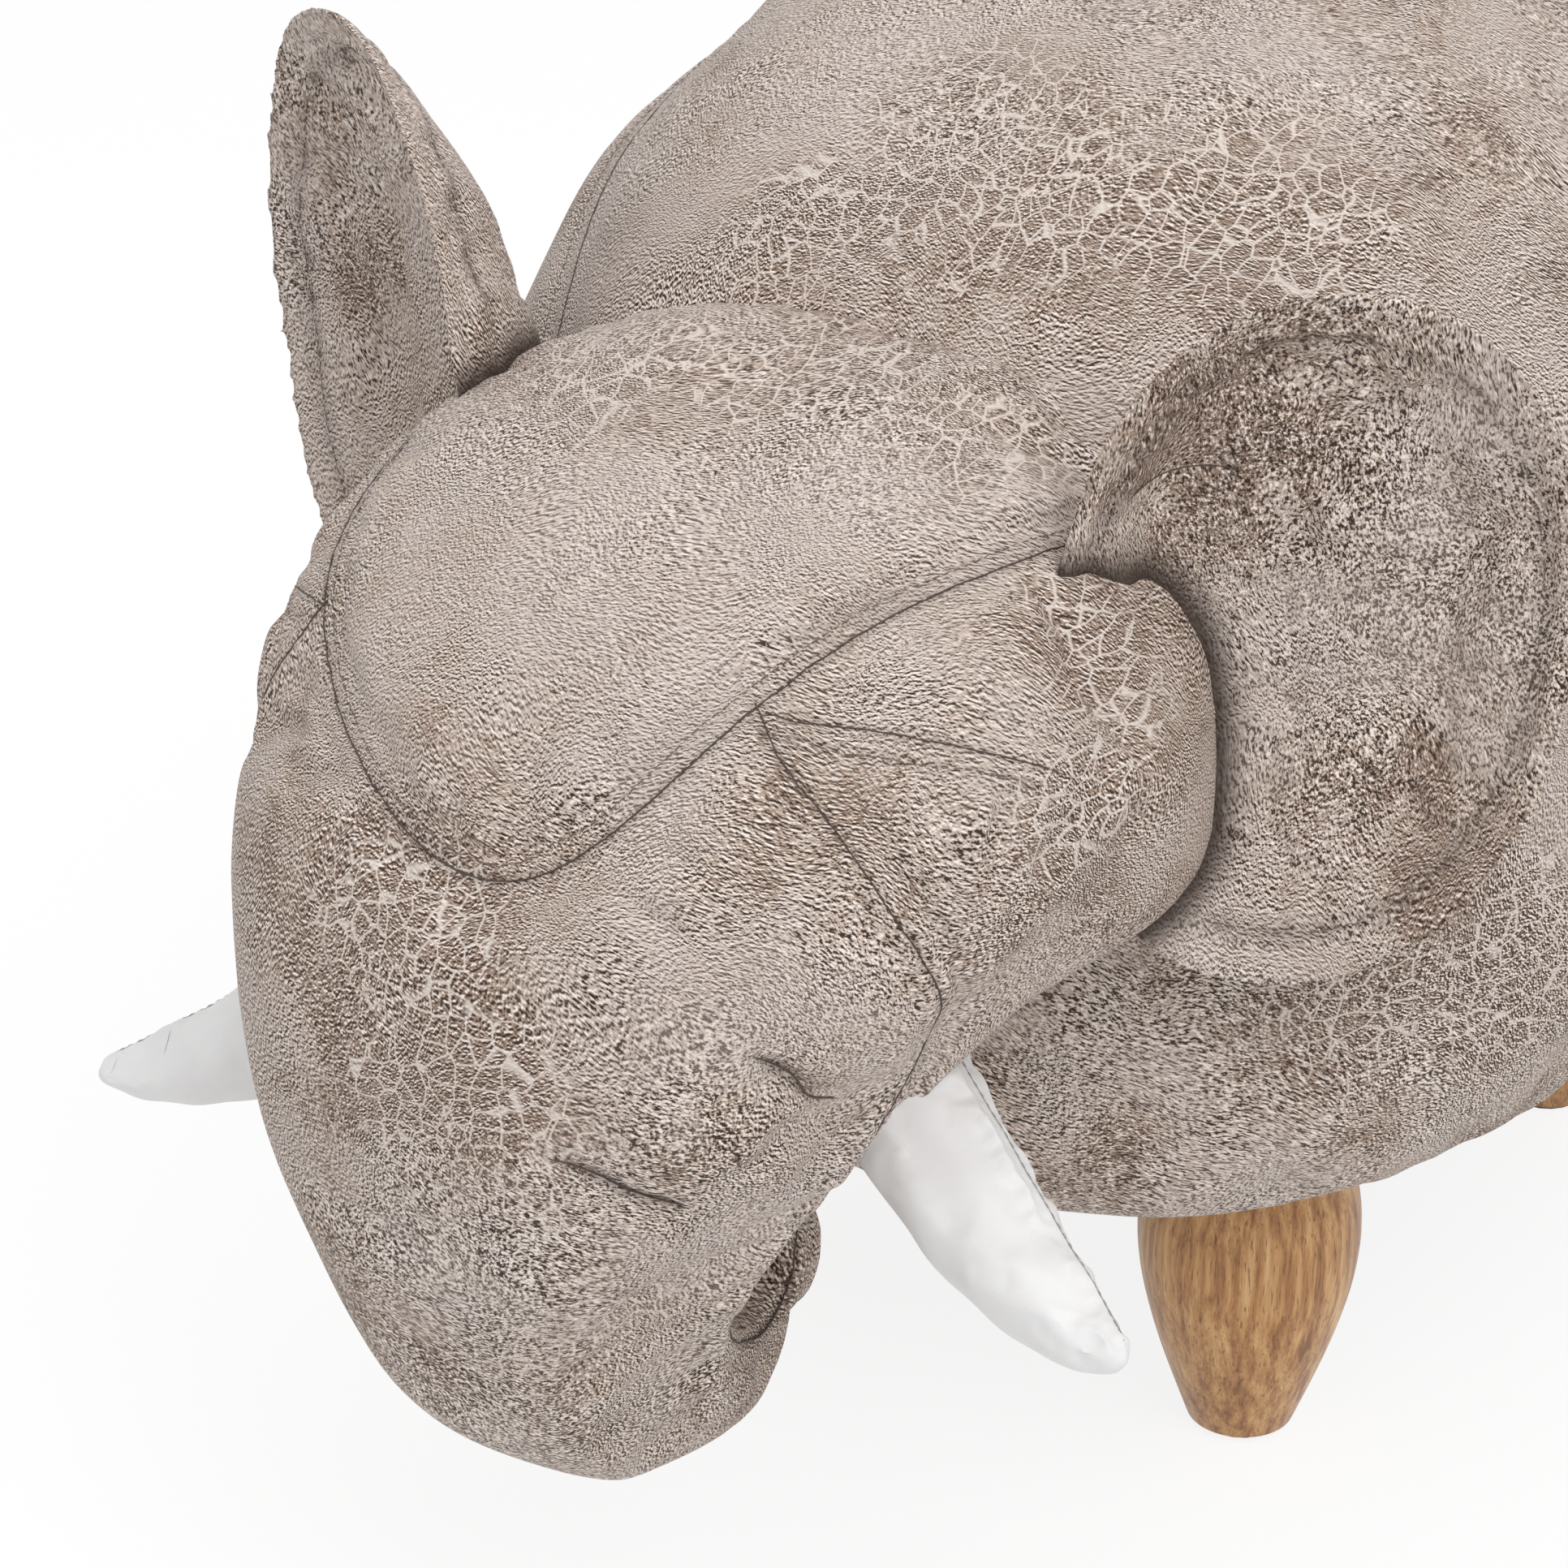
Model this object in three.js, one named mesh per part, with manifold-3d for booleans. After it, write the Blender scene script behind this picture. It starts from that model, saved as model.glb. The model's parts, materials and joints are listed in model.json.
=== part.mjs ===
// Elephant footstool: a stuffed faux leather elephant on four turned wooden legs.
// Millimetres, +Z up. The head looks along -Y and +X is the animal's left side.
// A plywood carcass carries the seat. Foam and stuffing fill the sewn cover around it.
// The origin is on the floor, in the middle of the stool's bounding box.
import * as THREE from "three";
import { mergeVertices } from "three/addons/utils/BufferGeometryUtils.js";
import Module from "manifold-3d";

const wasm = await Module();
wasm.setup();

// Driving dimensions
const GAP = 0.3; // between pieces that touch
const SEAM_GAP = 0.9; // between two panels along a seam
const FORM_GAP = 0.9; // between two stuffed forms where one is cut by the other
const OVERRUN = 5; // how far a cutter runs past what it cuts
const COVER = { thickness: 3, bodyPlay: 2.4, headPlay: 4.6 }; // wadded faux leather, and the play behind it

const BODY = {
  halfWidth: 176,
  halfLength: 225,
  crownHeight: 240, // from the widest level to the top of the seat
  bellyDepth: 74, // from the widest level to where the belly would close
};
BODY.fullness = 2.65;
BODY.bellyFullness = 3.4;
const UNDERSIDE_HEIGHT = 92; // the flat underside above the floor
const WAIST_HEIGHT = 160; // the widest level above the floor
const STRIP = { halfWidth: 120 }; // the middle strip of the body's cover
const STRIP_SEAM_ANGLES = { neck: 40, rump: 148 }; // its cross seams, in degrees round the body

// The carcass inside: a base board with a box and a deck on it, and the legs' bolts and nuts in the board.
const BOARD_SHARES = { width: 0.648, length: 0.653 }; // of the body
const BOARD = { thickness: 15, arris: 3 };
BOARD.halfWidth = BODY.halfWidth * BOARD_SHARES.width;
BOARD.halfLength = BODY.halfLength * BOARD_SHARES.length;
BOARD.fullness = 3.1;
const LEG_SPACING_SHARES = { x: 0.943, y: 0.942 }; // of half the body's width and length
const TNUT = { flangeRadius: 10, flange: 1.5, barrelRadius: 5.2, barrel: 9 };
const BOX = {
  height: 180,
  board: 15,
  deckOverhang: 28,
  deckLip: 3,
  besideNuts: 3, // from the rails to the nuts
  insideBoard: 7, // from the end panels to the base board's ends
};

const HEAD = {
  halfWidth: 117,
  frontDepth: 82, // from the middle line to the forehead
  backDepth: 84, // from the middle line to the throat
  sunk: 79, // how far behind the chest the head starts, inside the body
  aboveBox: 80, // how much higher the middle of the neck is than the box is tall
  reach: 155, // forward from the neck to the trunk
  drop: 172, // down from the neck to the curled trunk
  lean: 13, // how far the trunk leans to the animal's right
};
HEAD.neckY = HEAD.sunk - BODY.halfLength;
HEAD.neckHeight = BOX.height + HEAD.aboveBox;
HEAD.tipShare = 0.94; // where the half round end of the trunk begins
// Cross-sections of the head and trunk, from the neck to the curled tip:
// forward, down, tilt in degrees, width, front depth, back depth, lean, fullness.
const HEAD_SECTION_SHARES = [
  [0.0, 0.047, -4, 0.77, 0.976, 1.0, -0.15, 2.6],
  [0.206, 0.012, 7, 0.897, 0.988, 0.976, -0.15, 2.7],
  [0.4, 0.0, 23, 0.991, 0.976, 0.93, -0.15, 2.7],
  [0.671, 0.081, 40, 1.0, 1.0, 0.81, -0.13, 2.5],
  [0.852, 0.262, 57, 0.903, 1.012, 0.595, -0.22, 2.3],
  [0.968, 0.459, 73, 0.708, 0.927, 0.44, -0.6, 2.2],
  [1.0, 0.674, 88, 0.538, 0.72, 0.405, -0.95, 2.2],
  [0.974, 0.855, 112, 0.41, 0.549, 0.345, -1.0, 2.2],
  [0.852, 0.983, 145, 0.3, 0.402, 0.298, -0.6, 2.2],
  [0.7, 1.0, 188, 0.22, 0.317, 0.26, -0.05, 2.2],
  [0.6, 0.76, 262, 0.175, 0.21, 0.2, 1.0, 2.2],
];
// Seams of the head cover, as shares of the way from neck to tip and angles from the middle line.
const CROWN = { tipShare: 0.403, angle: 53, roundness: 0.6, tipSpread: 1.6 };
const CHEEK = { jointShare: 0.315, jointAngle: 30, backAngle: 85, bend: 0.45, chinShare: 0.47 };
const TRUNK_SEAM_SHARES = [
  [0.315, 30],
  [0.34, 36],
  [0.36, 47],
  [0.38, 60],
  [0.4, 69],
  [0.42, 75],
  [0.47, 80],
  [0.56, 89],
  [0.7, 96],
  [0.85, 104],
  [1.0, 110],
];
const SEAM_LEAN = { fromShare: 0.18, angle: -9.5 }; // how far the seams swing to the right above the trunk
const TRUNK_SPLIT = { share: 0.5, gapShare: 0.0015 }; // where the head's stuffing meets the trunk's
// Rows of the head's panels: behind the crown's corner, in front of it, and along the trunk.
const PANEL_ROWS = { behind: 6, before: 4, trunk: 11 };
PANEL_ROWS.turnShare = PANEL_ROWS.behind / (PANEL_ROWS.behind + PANEL_ROWS.before);
PANEL_ROWS.trunkTurnShare = PANEL_ROWS.before / (PANEL_ROWS.before + PANEL_ROWS.trunk);

const EAR = {
  width: 120,
  height: 174,
  inward: 22, // the root, from the head's widest place towards the middle
  ahead: 85, // the root, in front of the neck
  above: 65, // the root, over the middle of the neck
  lower: 32,
  frontPadding: 5,
  backPadding: 11,
  rim: 2.2, // thickness of each panel at the edge
};
EAR.rootX = HEAD.halfWidth - EAR.inward;
EAR.rootY = HEAD.neckY - EAR.ahead;
EAR.rootHeight = HEAD.neckHeight + EAR.above;
EAR.fullness = 2.2;
EAR.flatness = 4; // how evenly the padding fills a panel before it thins to the rim
EAR.thinningShare = 0.9; // how much thinner the back's padding is at the top than halfway up
// The ears are sewn on by hand and differ a little: from the root to the middle, depth of the hollow, lift,
// and in degrees how far they are turned back from facing forward and how far their top leans outward.
const LEFT_EAR = { outward: 50, cup: 24, lift: 1 };
LEFT_EAR.turn = 30;
LEFT_EAR.roll = 6;
const RIGHT_EAR = { outward: 40, cup: 31, lift: 20 };
RIGHT_EAR.turn = 31;
RIGHT_EAR.roll = 15;

const TUSK = {
  radius: 19,
  length: 98,
  tipRadius: 5,
  inward: 39, // the root, from the head's widest place towards the middle
  ahead: 129, // the root, in front of the neck
  below: 78, // the root, under the middle of the neck
};
TUSK.rootX = HEAD.halfWidth - TUSK.inward;
TUSK.rootY = HEAD.neckY - TUSK.ahead;
TUSK.rootHeight = HEAD.neckHeight - TUSK.below;
TUSK.taper = 0.78;
TUSK.slimming = 2.2;
TUSK.crowding = 0.9; // below 1, the rings stand closer together towards the tip
// The tusk's middle line as shares of its length, from the root: outward, forward and up.
const TUSK_PATH_SHARES = [
  [-0.2, -0.12, 0.14],
  [0.2, 0.01, -0.22],
  [0.51, 0.14, -0.32],
  [0.755, 0.22, -0.29],
];
// The tusks differ a little too: how far the root stands outward and up, and how far the tip does besides.
const LEFT_TUSK = { outward: -5, raise: -2, swing: -2, lift: -2 };
const RIGHT_TUSK = { outward: 0, raise: 1, swing: 15, lift: -24 };

const LEG = {
  footRadius: 15.4,
  bellyRadius: 31,
  bellyHeight: 64,
  topRadius: 25,
  arris: 1.2, // the small round of the foot's edge
};
LEG.spacingX = BODY.halfWidth * LEG_SPACING_SHARES.x;
LEG.spacingY = BODY.halfLength * LEG_SPACING_SHARES.y;
BOX.halfWidth = LEG.spacingX / 2 - TNUT.flangeRadius - BOX.besideNuts;
BOX.halfLength = BOARD.halfLength - BOX.insideBoard;
BOX.fullness = 8;
// Where the curves of the leg's outline pull it, as shares of the way out and up from the foot to the belly,
// and from the belly to the top.
const LEG_CURVE_SHARES = { out: 0.47, up: 0.34, belly: 0.69, top: 0.55 };
const GLIDE = { radius: 12, thickness: 1.6 };
const DUST_COVER = { thickness: 0.8, lap: 4 }; // lap: how far it reaches past the hole in the cover
const HEM = { width: 7, play: 2 }; // the cover turned under the base board, and the play between them
const NECK = { halfWidth: 32, height: 60, belowDeck: 16.2, depth: 96, arris: 3 };
const BOLT = { radius: 4, holePlay: 0.5, sunk: 38, above: 4 };
const NECK_BOLT = { headRadius: 7.5, headHeight: 5.3, spacing: 34, sunk: 45, washer: 1.6 };
const TAIL = { length: 128, radius: 7.5, bow: 30, tuftLength: 46, tuftRadius: 11 };
const TAIL_SHARES = { tip: 0.6, flatness: 0.6, tuftNeck: 0.25, tuftStart: 0.18, tuftRound: 0.7 };

// Faces of the round and of the stuffed forms: columns and rows of each sheet or loft.
const FACES = {
  rod: 16,
  bolt: 12,
  glide: 20,
  hexHead: 6,
  leg: 24,
  legRise: 7,
  legTop: 4,
  outline: 40,
  bodyFoam: [22, 10],
  nutSpace: 8,
  bodyCutter: [40, 28],
  headCutter: [30, 26],
  headStuffing: [16, 8],
  trunkStuffing: [12, 12],
  strip: 6,
  seat: 12,
  ends: 11,
  flank: [26, 5],
  crown: 8,
  upperCheek: 4,
  lowerCheek: 7,
  gusset: 6,
  ear: [20, 4],
  tusk: [12, 8],
  tail: [8, 8],
  tuft: [8, 6],
};

// Materials
const FINISHES = {
  hide: { color: "#a79b90", roughness: 0.62, metalness: 0 },
  tuskLeather: { color: "#e4e2e0", roughness: 0.5, metalness: 0 },
  legWood: { color: "#b98a5c", roughness: 0.5, metalness: 0 },
  plywood: { color: "#c9a877", roughness: 0.75, metalness: 0 },
  foam: { color: "#d8cfae", roughness: 0.95, metalness: 0 },
  stuffing: { color: "#e9e7e1", roughness: 0.95, metalness: 0 },
  lining: { color: "#1c1c1d", roughness: 0.9, metalness: 0 },
  zinc: { color: "#b9bcc0", roughness: 0.35, metalness: 1 },
  felt: { color: "#6b5646", roughness: 0.95, metalness: 0 },
};

const stool = new THREE.Group();

// Puts a finished geometry into the scene as its own named piece.
function addPiece(name, geometry, finish, parent = stool) {
  const mesh = new THREE.Mesh(geometry, new THREE.MeshStandardMaterial(FINISHES[finish]));
  mesh.name = name;
  parent.add(mesh);
  return mesh;
}

// Solids

// A closed geometry as a solid, with shared vertices merged, flat faces dropped and faces outward.
function solidOf(geometry) {
  const bare = geometry.index ? geometry.toNonIndexed() : geometry.clone();
  bare.deleteAttribute("normal");
  bare.deleteAttribute("uv");
  const merged = mergeVertices(bare);
  const corners = merged.index.array;
  const kept = [];
  for (let i = 0; i < corners.length; i += 3) {
    const [a, b, c] = [corners[i], corners[i + 1], corners[i + 2]];
    if (a !== b && b !== c && c !== a) kept.push(a, b, c);
  }
  const vertProperties = merged.attributes.position.array;
  const build = (list) => new wasm.Manifold(new wasm.Mesh({
    numProp: 3,
    vertProperties,
    triVerts: new Uint32Array(list),
  }));
  const made = build(kept);
  return made.volume() < 0 ? build(kept.slice().reverse()) : made;
}

// A solid as a geometry again. Only its largest body is kept, so no sliver stays beside it.
function geometryOf(solid) {
  const largest = solid.decompose().reduce((a, b) => (b.volume() > a.volume() ? b : a));
  const mesh = largest.getMesh();
  const geometry = new THREE.BufferGeometry();
  const places = new Float32Array(mesh.numVert * 3);
  for (let i = 0; i < mesh.numVert; i++) {
    places.set(mesh.vertProperties.subarray(i * mesh.numProp, i * mesh.numProp + 3), i * 3);
  }
  geometry.setAttribute("position", new THREE.BufferAttribute(places, 3));
  geometry.setIndex(new THREE.BufferAttribute(new Uint32Array(mesh.triVerts), 1));
  return geometry;
}

function cut(geometry, ...tools) {
  return geometryOf(tools.reduce((rest, tool) => rest.subtract(tool), solidOf(geometry)));
}

// Adds the four-sided face a, b, c, d to an index, split along its shorter diagonal.
function addFace(index, points, a, b, c, d) {
  const span = (from, to) => Math.hypot(...[0, 1, 2].map((k) => points[3 * from + k] - points[3 * to + k]));
  if (span(a, c) <= span(b, d)) index.push(a, b, c, a, c, d);
  else index.push(a, b, d, b, c, d);
}

// A closed sheet between two depths of a form. place(u, v, depth) gives the form's points.
// A sheet that wraps joins its last column to its first.
function sheetGeometry(place, columns, rows, outer, inner, wraps = false) {
  const across = wraps ? columns : columns + 1;
  const points = [];
  for (const depth of [outer, inner]) {
    for (let j = 0; j <= rows; j++) {
      for (let i = 0; i < across; i++) points.push(...place(i / columns, j / rows, depth).toArray());
    }
  }
  const layer = across * (rows + 1);
  const at = (i, j) => j * across + (i % across);
  const index = [];
  const quad = (...corners) => addFace(index, points, ...corners);
  for (let j = 0; j < rows; j++) {
    for (let i = 0; i < columns; i++) {
      quad(at(i, j), at(i + 1, j), at(i + 1, j + 1), at(i, j + 1));
      quad(layer + at(i, j + 1), layer + at(i + 1, j + 1), layer + at(i + 1, j), layer + at(i, j));
    }
    if (wraps) continue;
    quad(at(0, j), at(0, j + 1), layer + at(0, j + 1), layer + at(0, j));
    quad(layer + at(columns, j), layer + at(columns, j + 1), at(columns, j + 1), at(columns, j));
  }
  for (let i = 0; i < columns; i++) {
    quad(layer + at(i, 0), layer + at(i + 1, 0), at(i + 1, 0), at(i, 0));
    quad(at(i, rows), at(i + 1, rows), layer + at(i + 1, rows), layer + at(i, rows));
  }
  const geometry = new THREE.BufferGeometry();
  geometry.setAttribute("position", new THREE.Float32BufferAttribute(points, 3));
  geometry.setIndex(index);
  return geometry;
}

// A closed loft through rings, with a fan over each end. place(u, v) gives the points of ring v.
function loftGeometry(place, columns, rows) {
  const points = [];
  for (let j = 0; j <= rows; j++) {
    for (let i = 0; i < columns; i++) points.push(...place(i / columns, j / rows).toArray());
  }
  const at = (i, j) => j * columns + (i % columns);
  const index = [];
  for (let j = 0; j < rows; j++) {
    for (let i = 0; i < columns; i++) {
      addFace(index, points, at(i, j), at(i + 1, j), at(i + 1, j + 1), at(i, j + 1));
    }
  }
  for (const [j, turned] of [[0, true], [rows, false]]) {
    const middle = new THREE.Vector3();
    for (let i = 0; i < columns; i++) middle.add(place(i / columns, j / rows));
    const centre = points.length / 3;
    points.push(...middle.divideScalar(columns).toArray());
    for (let i = 0; i < columns; i++) {
      const pair = turned ? [at(i + 1, j), at(i, j)] : [at(i, j), at(i + 1, j)];
      index.push(...pair, centre);
    }
  }
  const geometry = new THREE.BufferGeometry();
  geometry.setAttribute("position", new THREE.Float32BufferAttribute(points, 3));
  geometry.setIndex(index);
  return geometry;
}

// The same form with its edges drawn in by half a seam, so that two panels leave a seam between them.
function drawnIn(place) {
  const half = SEAM_GAP / 2;
  const mostShare = 0.45; // of a run that is shorter than the seam
  const squeeze = (share, run) => {
    const margin = Math.min(mostShare, half / Math.max(run, half));
    return margin + share * (1 - 2 * margin);
  };
  return (u, v, depth) => {
    const row = squeeze(v, place(u, 0, depth).distanceTo(place(u, 1, depth)));
    const column = squeeze(u, place(0, row, depth).distanceTo(place(1, row, depth)));
    return place(column, row, depth);
  };
}

const degrees = THREE.MathUtils.degToRad;
const lerp = THREE.MathUtils.lerp;
const signedPower = (value, fullness) => Math.sign(value) * Math.abs(value) ** (2 / fullness);

// A smooth value from a table of [share, value] rows.
function fromTable(table, share) {
  const next = table.findIndex(([at]) => at >= share);
  if (next === 0) return table[0][1];
  if (next < 0) return table[table.length - 1][1];
  const [[s0, a], [s1, b]] = [table[next - 1], table[next]];
  return lerp(a, b, (share - s0) / (s1 - s0));
}

// The Catmull-Rom curve through the rows of a table, for a share from 0 to 1 of the way along it.
function alongRows(rows, share) {
  const last = rows.length - 1;
  const place = THREE.MathUtils.clamp(share, 0, 1) * last;
  const i = Math.min(Math.floor(place), last - 1);
  const f = place - i;
  return rows[i].map((_, k) => {
    const [b, c] = [rows[i][k], rows[i + 1][k]];
    const a = i > 0 ? rows[i - 1][k] : 2 * b - c;
    const d = i + 2 <= last ? rows[i + 2][k] : 2 * c - b;
    const bend = 2 * a - 5 * b + 4 * c - d;
    const twist = 3 * b - a - 3 * c + d;
    return (2 * b + (c - a) * f + bend * f ** 2 + twist * f ** 3) / 2;
  });
}

// The body's form

// A point of the stuffed body. across runs from the right flank, -90, to the left flank, 90,
// and round runs from the chest, 0, over the seat, 90, and the rump, 180, to the belly, 270.
function bodyPoint(across, round, depth = 0) {
  const [a, r] = [degrees(across), degrees(round)];
  const side = Math.sin(a);
  const rest = Math.abs(across) >= 90 ? 0 : Math.cos(a);
  const { halfWidth, halfLength, crownHeight, bellyDepth, fullness, bellyFullness } = BODY;
  const x = signedPower(side, fullness);
  const y = -signedPower(rest * Math.cos(r), fullness);
  const up = rest * Math.sin(r);
  const flat = Math.max(0, 1 - up ** 2); // what is left of the form at this height
  const above = up >= 0;
  const c = above ? up ** (2 / fullness) : (1 - flat ** (bellyFullness / fullness)) ** (1 / bellyFullness);
  const height = above ? crownHeight : bellyDepth;
  const point = new THREE.Vector3(x * halfWidth, y * halfLength, WAIST_HEIGHT + (above ? c : -c) * height);
  const ring = above ? 1 : flat ** (bellyFullness / fullness - 1);
  const slope = (share, size) => (ring * Math.sign(share) * Math.abs(share) ** (fullness - 1)) / size;
  const upSlope = above ? c ** (fullness - 1) / height : -(c ** (bellyFullness - 1)) / height;
  const outward = new THREE.Vector3(slope(x, halfWidth), slope(y, halfLength), upSlope).normalize();
  point.addScaledVector(outward, -depth);
  point.z = Math.max(point.z, UNDERSIDE_HEIGHT + depth);
  return point;
}

// The across angle at which the body's form is a given distance from the middle plane.
function acrossAt(x) {
  return THREE.MathUtils.radToDeg(Math.asin((x / BODY.halfWidth) ** (BODY.fullness / 2)));
}

function bodyForm(depth, [columns, rows]) {
  const place = (u, v) => bodyPoint(lerp(-90, 90, v), 360 * u, depth);
  return loftGeometry(place, columns, rows);
}

// The head's form

function headSection(share) {
  const [forward, down, tilt, width, front, back, lean, fullness] = alongRows(HEAD_SECTION_SHARES, share);
  const past = Math.max(0, (share - HEAD.tipShare) / (1 - HEAD.tipShare));
  const closing = Math.sqrt(Math.max(0, 1 - past ** 2));
  return {
    middle: new THREE.Vector3(
      lean * HEAD.lean,
      HEAD.neckY - forward * HEAD.reach,
      HEAD.neckHeight - down * HEAD.drop,
    ),
    outward: new THREE.Vector3(0, -Math.sin(degrees(tilt)), Math.cos(degrees(tilt))),
    width: width * HEAD.halfWidth * closing,
    front: front * HEAD.frontDepth * closing,
    back: back * HEAD.backDepth * closing,
    fullness,
  };
}

// A point of the head and trunk, at an angle from the middle line of the forehead.
function headSurface(share, angle) {
  const section = headSection(share);
  const a = degrees(angle);
  const depth = Math.cos(a) >= 0 ? section.front : section.back;
  const point = section.middle.clone();
  point.x += section.width * signedPower(Math.sin(a), section.fullness);
  return point.addScaledVector(section.outward, depth * signedPower(Math.cos(a), section.fullness));
}

function headPoint(share, angle, depth = 0) {
  const [stepShare, stepAngle] = [0.002, 0.5];
  const s = THREE.MathUtils.clamp(share, 0, 1);
  const point = headSurface(s, angle);
  if (depth === 0) return point;
  const near = Math.min(s, 1 - stepShare * 2);
  const along = headSurface(near + stepShare, angle).sub(headSurface(near - stepShare, angle));
  const round = headSurface(near, angle + stepAngle).sub(headSurface(near, angle - stepAngle));
  const outward = along.cross(round).normalize();
  if (outward.dot(headSurface(near, angle).sub(headSection(near).middle)) < 0) outward.negate();
  return point.addScaledVector(outward, -depth);
}

function headForm(depth, [columns, rows], from = 0, to = 1) {
  return loftGeometry((u, v) => headPoint(lerp(from, to, v), 360 * u, depth), columns, rows);
}

// Outlines and boards

// A rounded outline whose sides swell as the body's plan does.
function roundedOutline(halfWidth, halfLength, fullness, points = FACES.outline) {
  const shape = new THREE.Shape();
  for (let i = 0; i < points; i++) {
    const a = (2 * Math.PI * i) / points;
    const x = halfWidth * signedPower(Math.cos(a), fullness);
    const y = halfLength * signedPower(Math.sin(a), fullness);
    if (i === 0) shape.moveTo(x, y);
    else shape.lineTo(x, y);
  }
  shape.closePath();
  return shape;
}

// A board lying flat, its lower face at the height base, with small bevels.
function flatBoard(shape, base, thickness, arris = 0) {
  const geometry = new THREE.ExtrudeGeometry(shape, {
    depth: thickness - 2 * arris,
    bevelEnabled: arris > 0,
    bevelThickness: arris,
    bevelSize: arris,
    bevelOffset: -arris,
    bevelSegments: 1,
  });
  return geometry.translate(0, 0, base + arris);
}

function blockGeometry(width, length, height, x, y, base) {
  return new THREE.BoxGeometry(width, length, height).translate(x, y, base + height / 2);
}

function uprightCylinder(radius, base, height, sides = FACES.rod) {
  const geometry = new THREE.CylinderGeometry(radius, radius, height, sides);
  return geometry.rotateX(Math.PI / 2).translate(0, 0, base + height / 2);
}

const HEIGHTS = {
  base: UNDERSIDE_HEIGHT + COVER.thickness + HEM.play,
  dustCover: UNDERSIDE_HEIGHT - GAP - DUST_COVER.thickness,
};
HEIGHTS.floorOfBox = HEIGHTS.base + BOARD.thickness + GAP;
HEIGHTS.deck = HEIGHTS.floorOfBox + BOX.height + GAP;
HEIGHTS.topOfDeck = HEIGHTS.deck + BOX.board;
HEIGHTS.neck = HEIGHTS.deck - NECK.belowDeck - NECK.height;
HEIGHTS.legTop = HEIGHTS.dustCover - GAP;

const legPlaces = [
  ["front_left", 1, -1],
  ["front_right", -1, -1],
  ["rear_left", 1, 1],
  ["rear_right", -1, 1],
].map(([name, x, y]) => ({ name, x: (x * LEG.spacingX) / 2, y: (y * LEG.spacingY) / 2 }));

// Carcass

// The base board, drilled for the T-nuts that take the legs.
function baseBoard() {
  const { halfWidth, halfLength, fullness, thickness, arris } = BOARD;
  const board = flatBoard(roundedOutline(halfWidth, halfLength, fullness), HEIGHTS.base, thickness, arris);
  const holes = legPlaces.map(({ x, y }) => {
    const radius = TNUT.barrelRadius + GAP;
    const hole = uprightCylinder(radius, HEIGHTS.base - OVERRUN, BOARD.thickness + 2 * OVERRUN);
    return solidOf(hole.translate(x, y, 0));
  });
  return cut(board, ...holes);
}

// Two end panels and two rails, set on the base board, with the deck over them.
function buildCarcass() {
  addPiece("base_board", baseBoard(), "plywood");
  const { halfWidth, halfLength, height, board, deckOverhang, deckLip } = BOX;
  const floor = HEIGHTS.floorOfBox;
  const endY = halfLength - board / 2;
  const front = blockGeometry(2 * halfWidth, board, height, 0, -endY, floor);
  const holes = neckBoltPlaces().map((place) => neckBoltHole(place));
  addPiece("front_end_panel", cut(front, ...holes), "plywood");
  addPiece("rear_end_panel", blockGeometry(2 * halfWidth, board, height, 0, endY, floor), "plywood");
  const railLength = 2 * (halfLength - board - GAP);
  const railX = halfWidth - board / 2;
  addPiece("left_rail", blockGeometry(board, railLength, height, railX, 0, floor), "plywood");
  addPiece("right_rail", blockGeometry(board, railLength, height, -railX, 0, floor), "plywood");
  const deck = roundedOutline(halfWidth + deckOverhang, halfLength + deckLip, BOX.fullness);
  addPiece("seat_deck", flatBoard(deck, HEIGHTS.deck, board, BOARD.arris), "plywood");
}

// The block that carries the head, bolted to the front end panel from inside the box.
function neckBlock() {
  const width = 2 * (NECK.halfWidth - NECK.arris);
  const height = NECK.height - 2 * NECK.arris;
  const shape = new THREE.Shape();
  shape.moveTo(-width / 2, 0);
  shape.lineTo(width / 2, 0);
  shape.lineTo(width / 2, height);
  shape.lineTo(-width / 2, height);
  shape.closePath();
  const geometry = new THREE.ExtrudeGeometry(shape, {
    depth: NECK.depth - 2 * NECK.arris,
    bevelThickness: NECK.arris,
    bevelSize: NECK.arris,
    bevelSegments: 1,
  });
  const back = -BOX.halfLength - GAP - NECK.arris;
  geometry.rotateX(Math.PI / 2).translate(0, back, HEIGHTS.neck + NECK.arris);
  return geometry;
}

function neckBoltPlaces() {
  const middle = HEIGHTS.neck + NECK.height / 2;
  return [1, -1].map((side) => middle + (side * NECK_BOLT.spacing) / 2);
}

function alongY(radius, front, back, height, sides = FACES.rod) {
  const length = back - front;
  return new THREE.CylinderGeometry(radius, radius, length, sides).translate(0, front + length / 2, height);
}

// The clearance hole for one neck bolt, through the end panel and into the block.
function neckBoltHole(height) {
  const panelBack = -BOX.halfLength + BOX.board;
  const front = -BOX.halfLength - NECK_BOLT.sunk - GAP;
  return solidOf(alongY(BOLT.radius + GAP, front, panelBack + OVERRUN, height));
}

// A bolt with a washer face under its six-sided head.
function neckBolt(height) {
  const seat = -BOX.halfLength + BOX.board + GAP;
  const shank = solidOf(alongY(BOLT.radius, -BOX.halfLength - NECK_BOLT.sunk, seat, height));
  const washerRadius = NECK_BOLT.headRadius + NECK_BOLT.washer;
  const washer = solidOf(alongY(washerRadius, seat, seat + NECK_BOLT.washer, height));
  const headFront = seat + NECK_BOLT.washer;
  const headBack = headFront + NECK_BOLT.headHeight;
  const head = solidOf(alongY(NECK_BOLT.headRadius, headFront, headBack, height, FACES.hexHead));
  return geometryOf(shank.add(washer).add(head));
}

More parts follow.
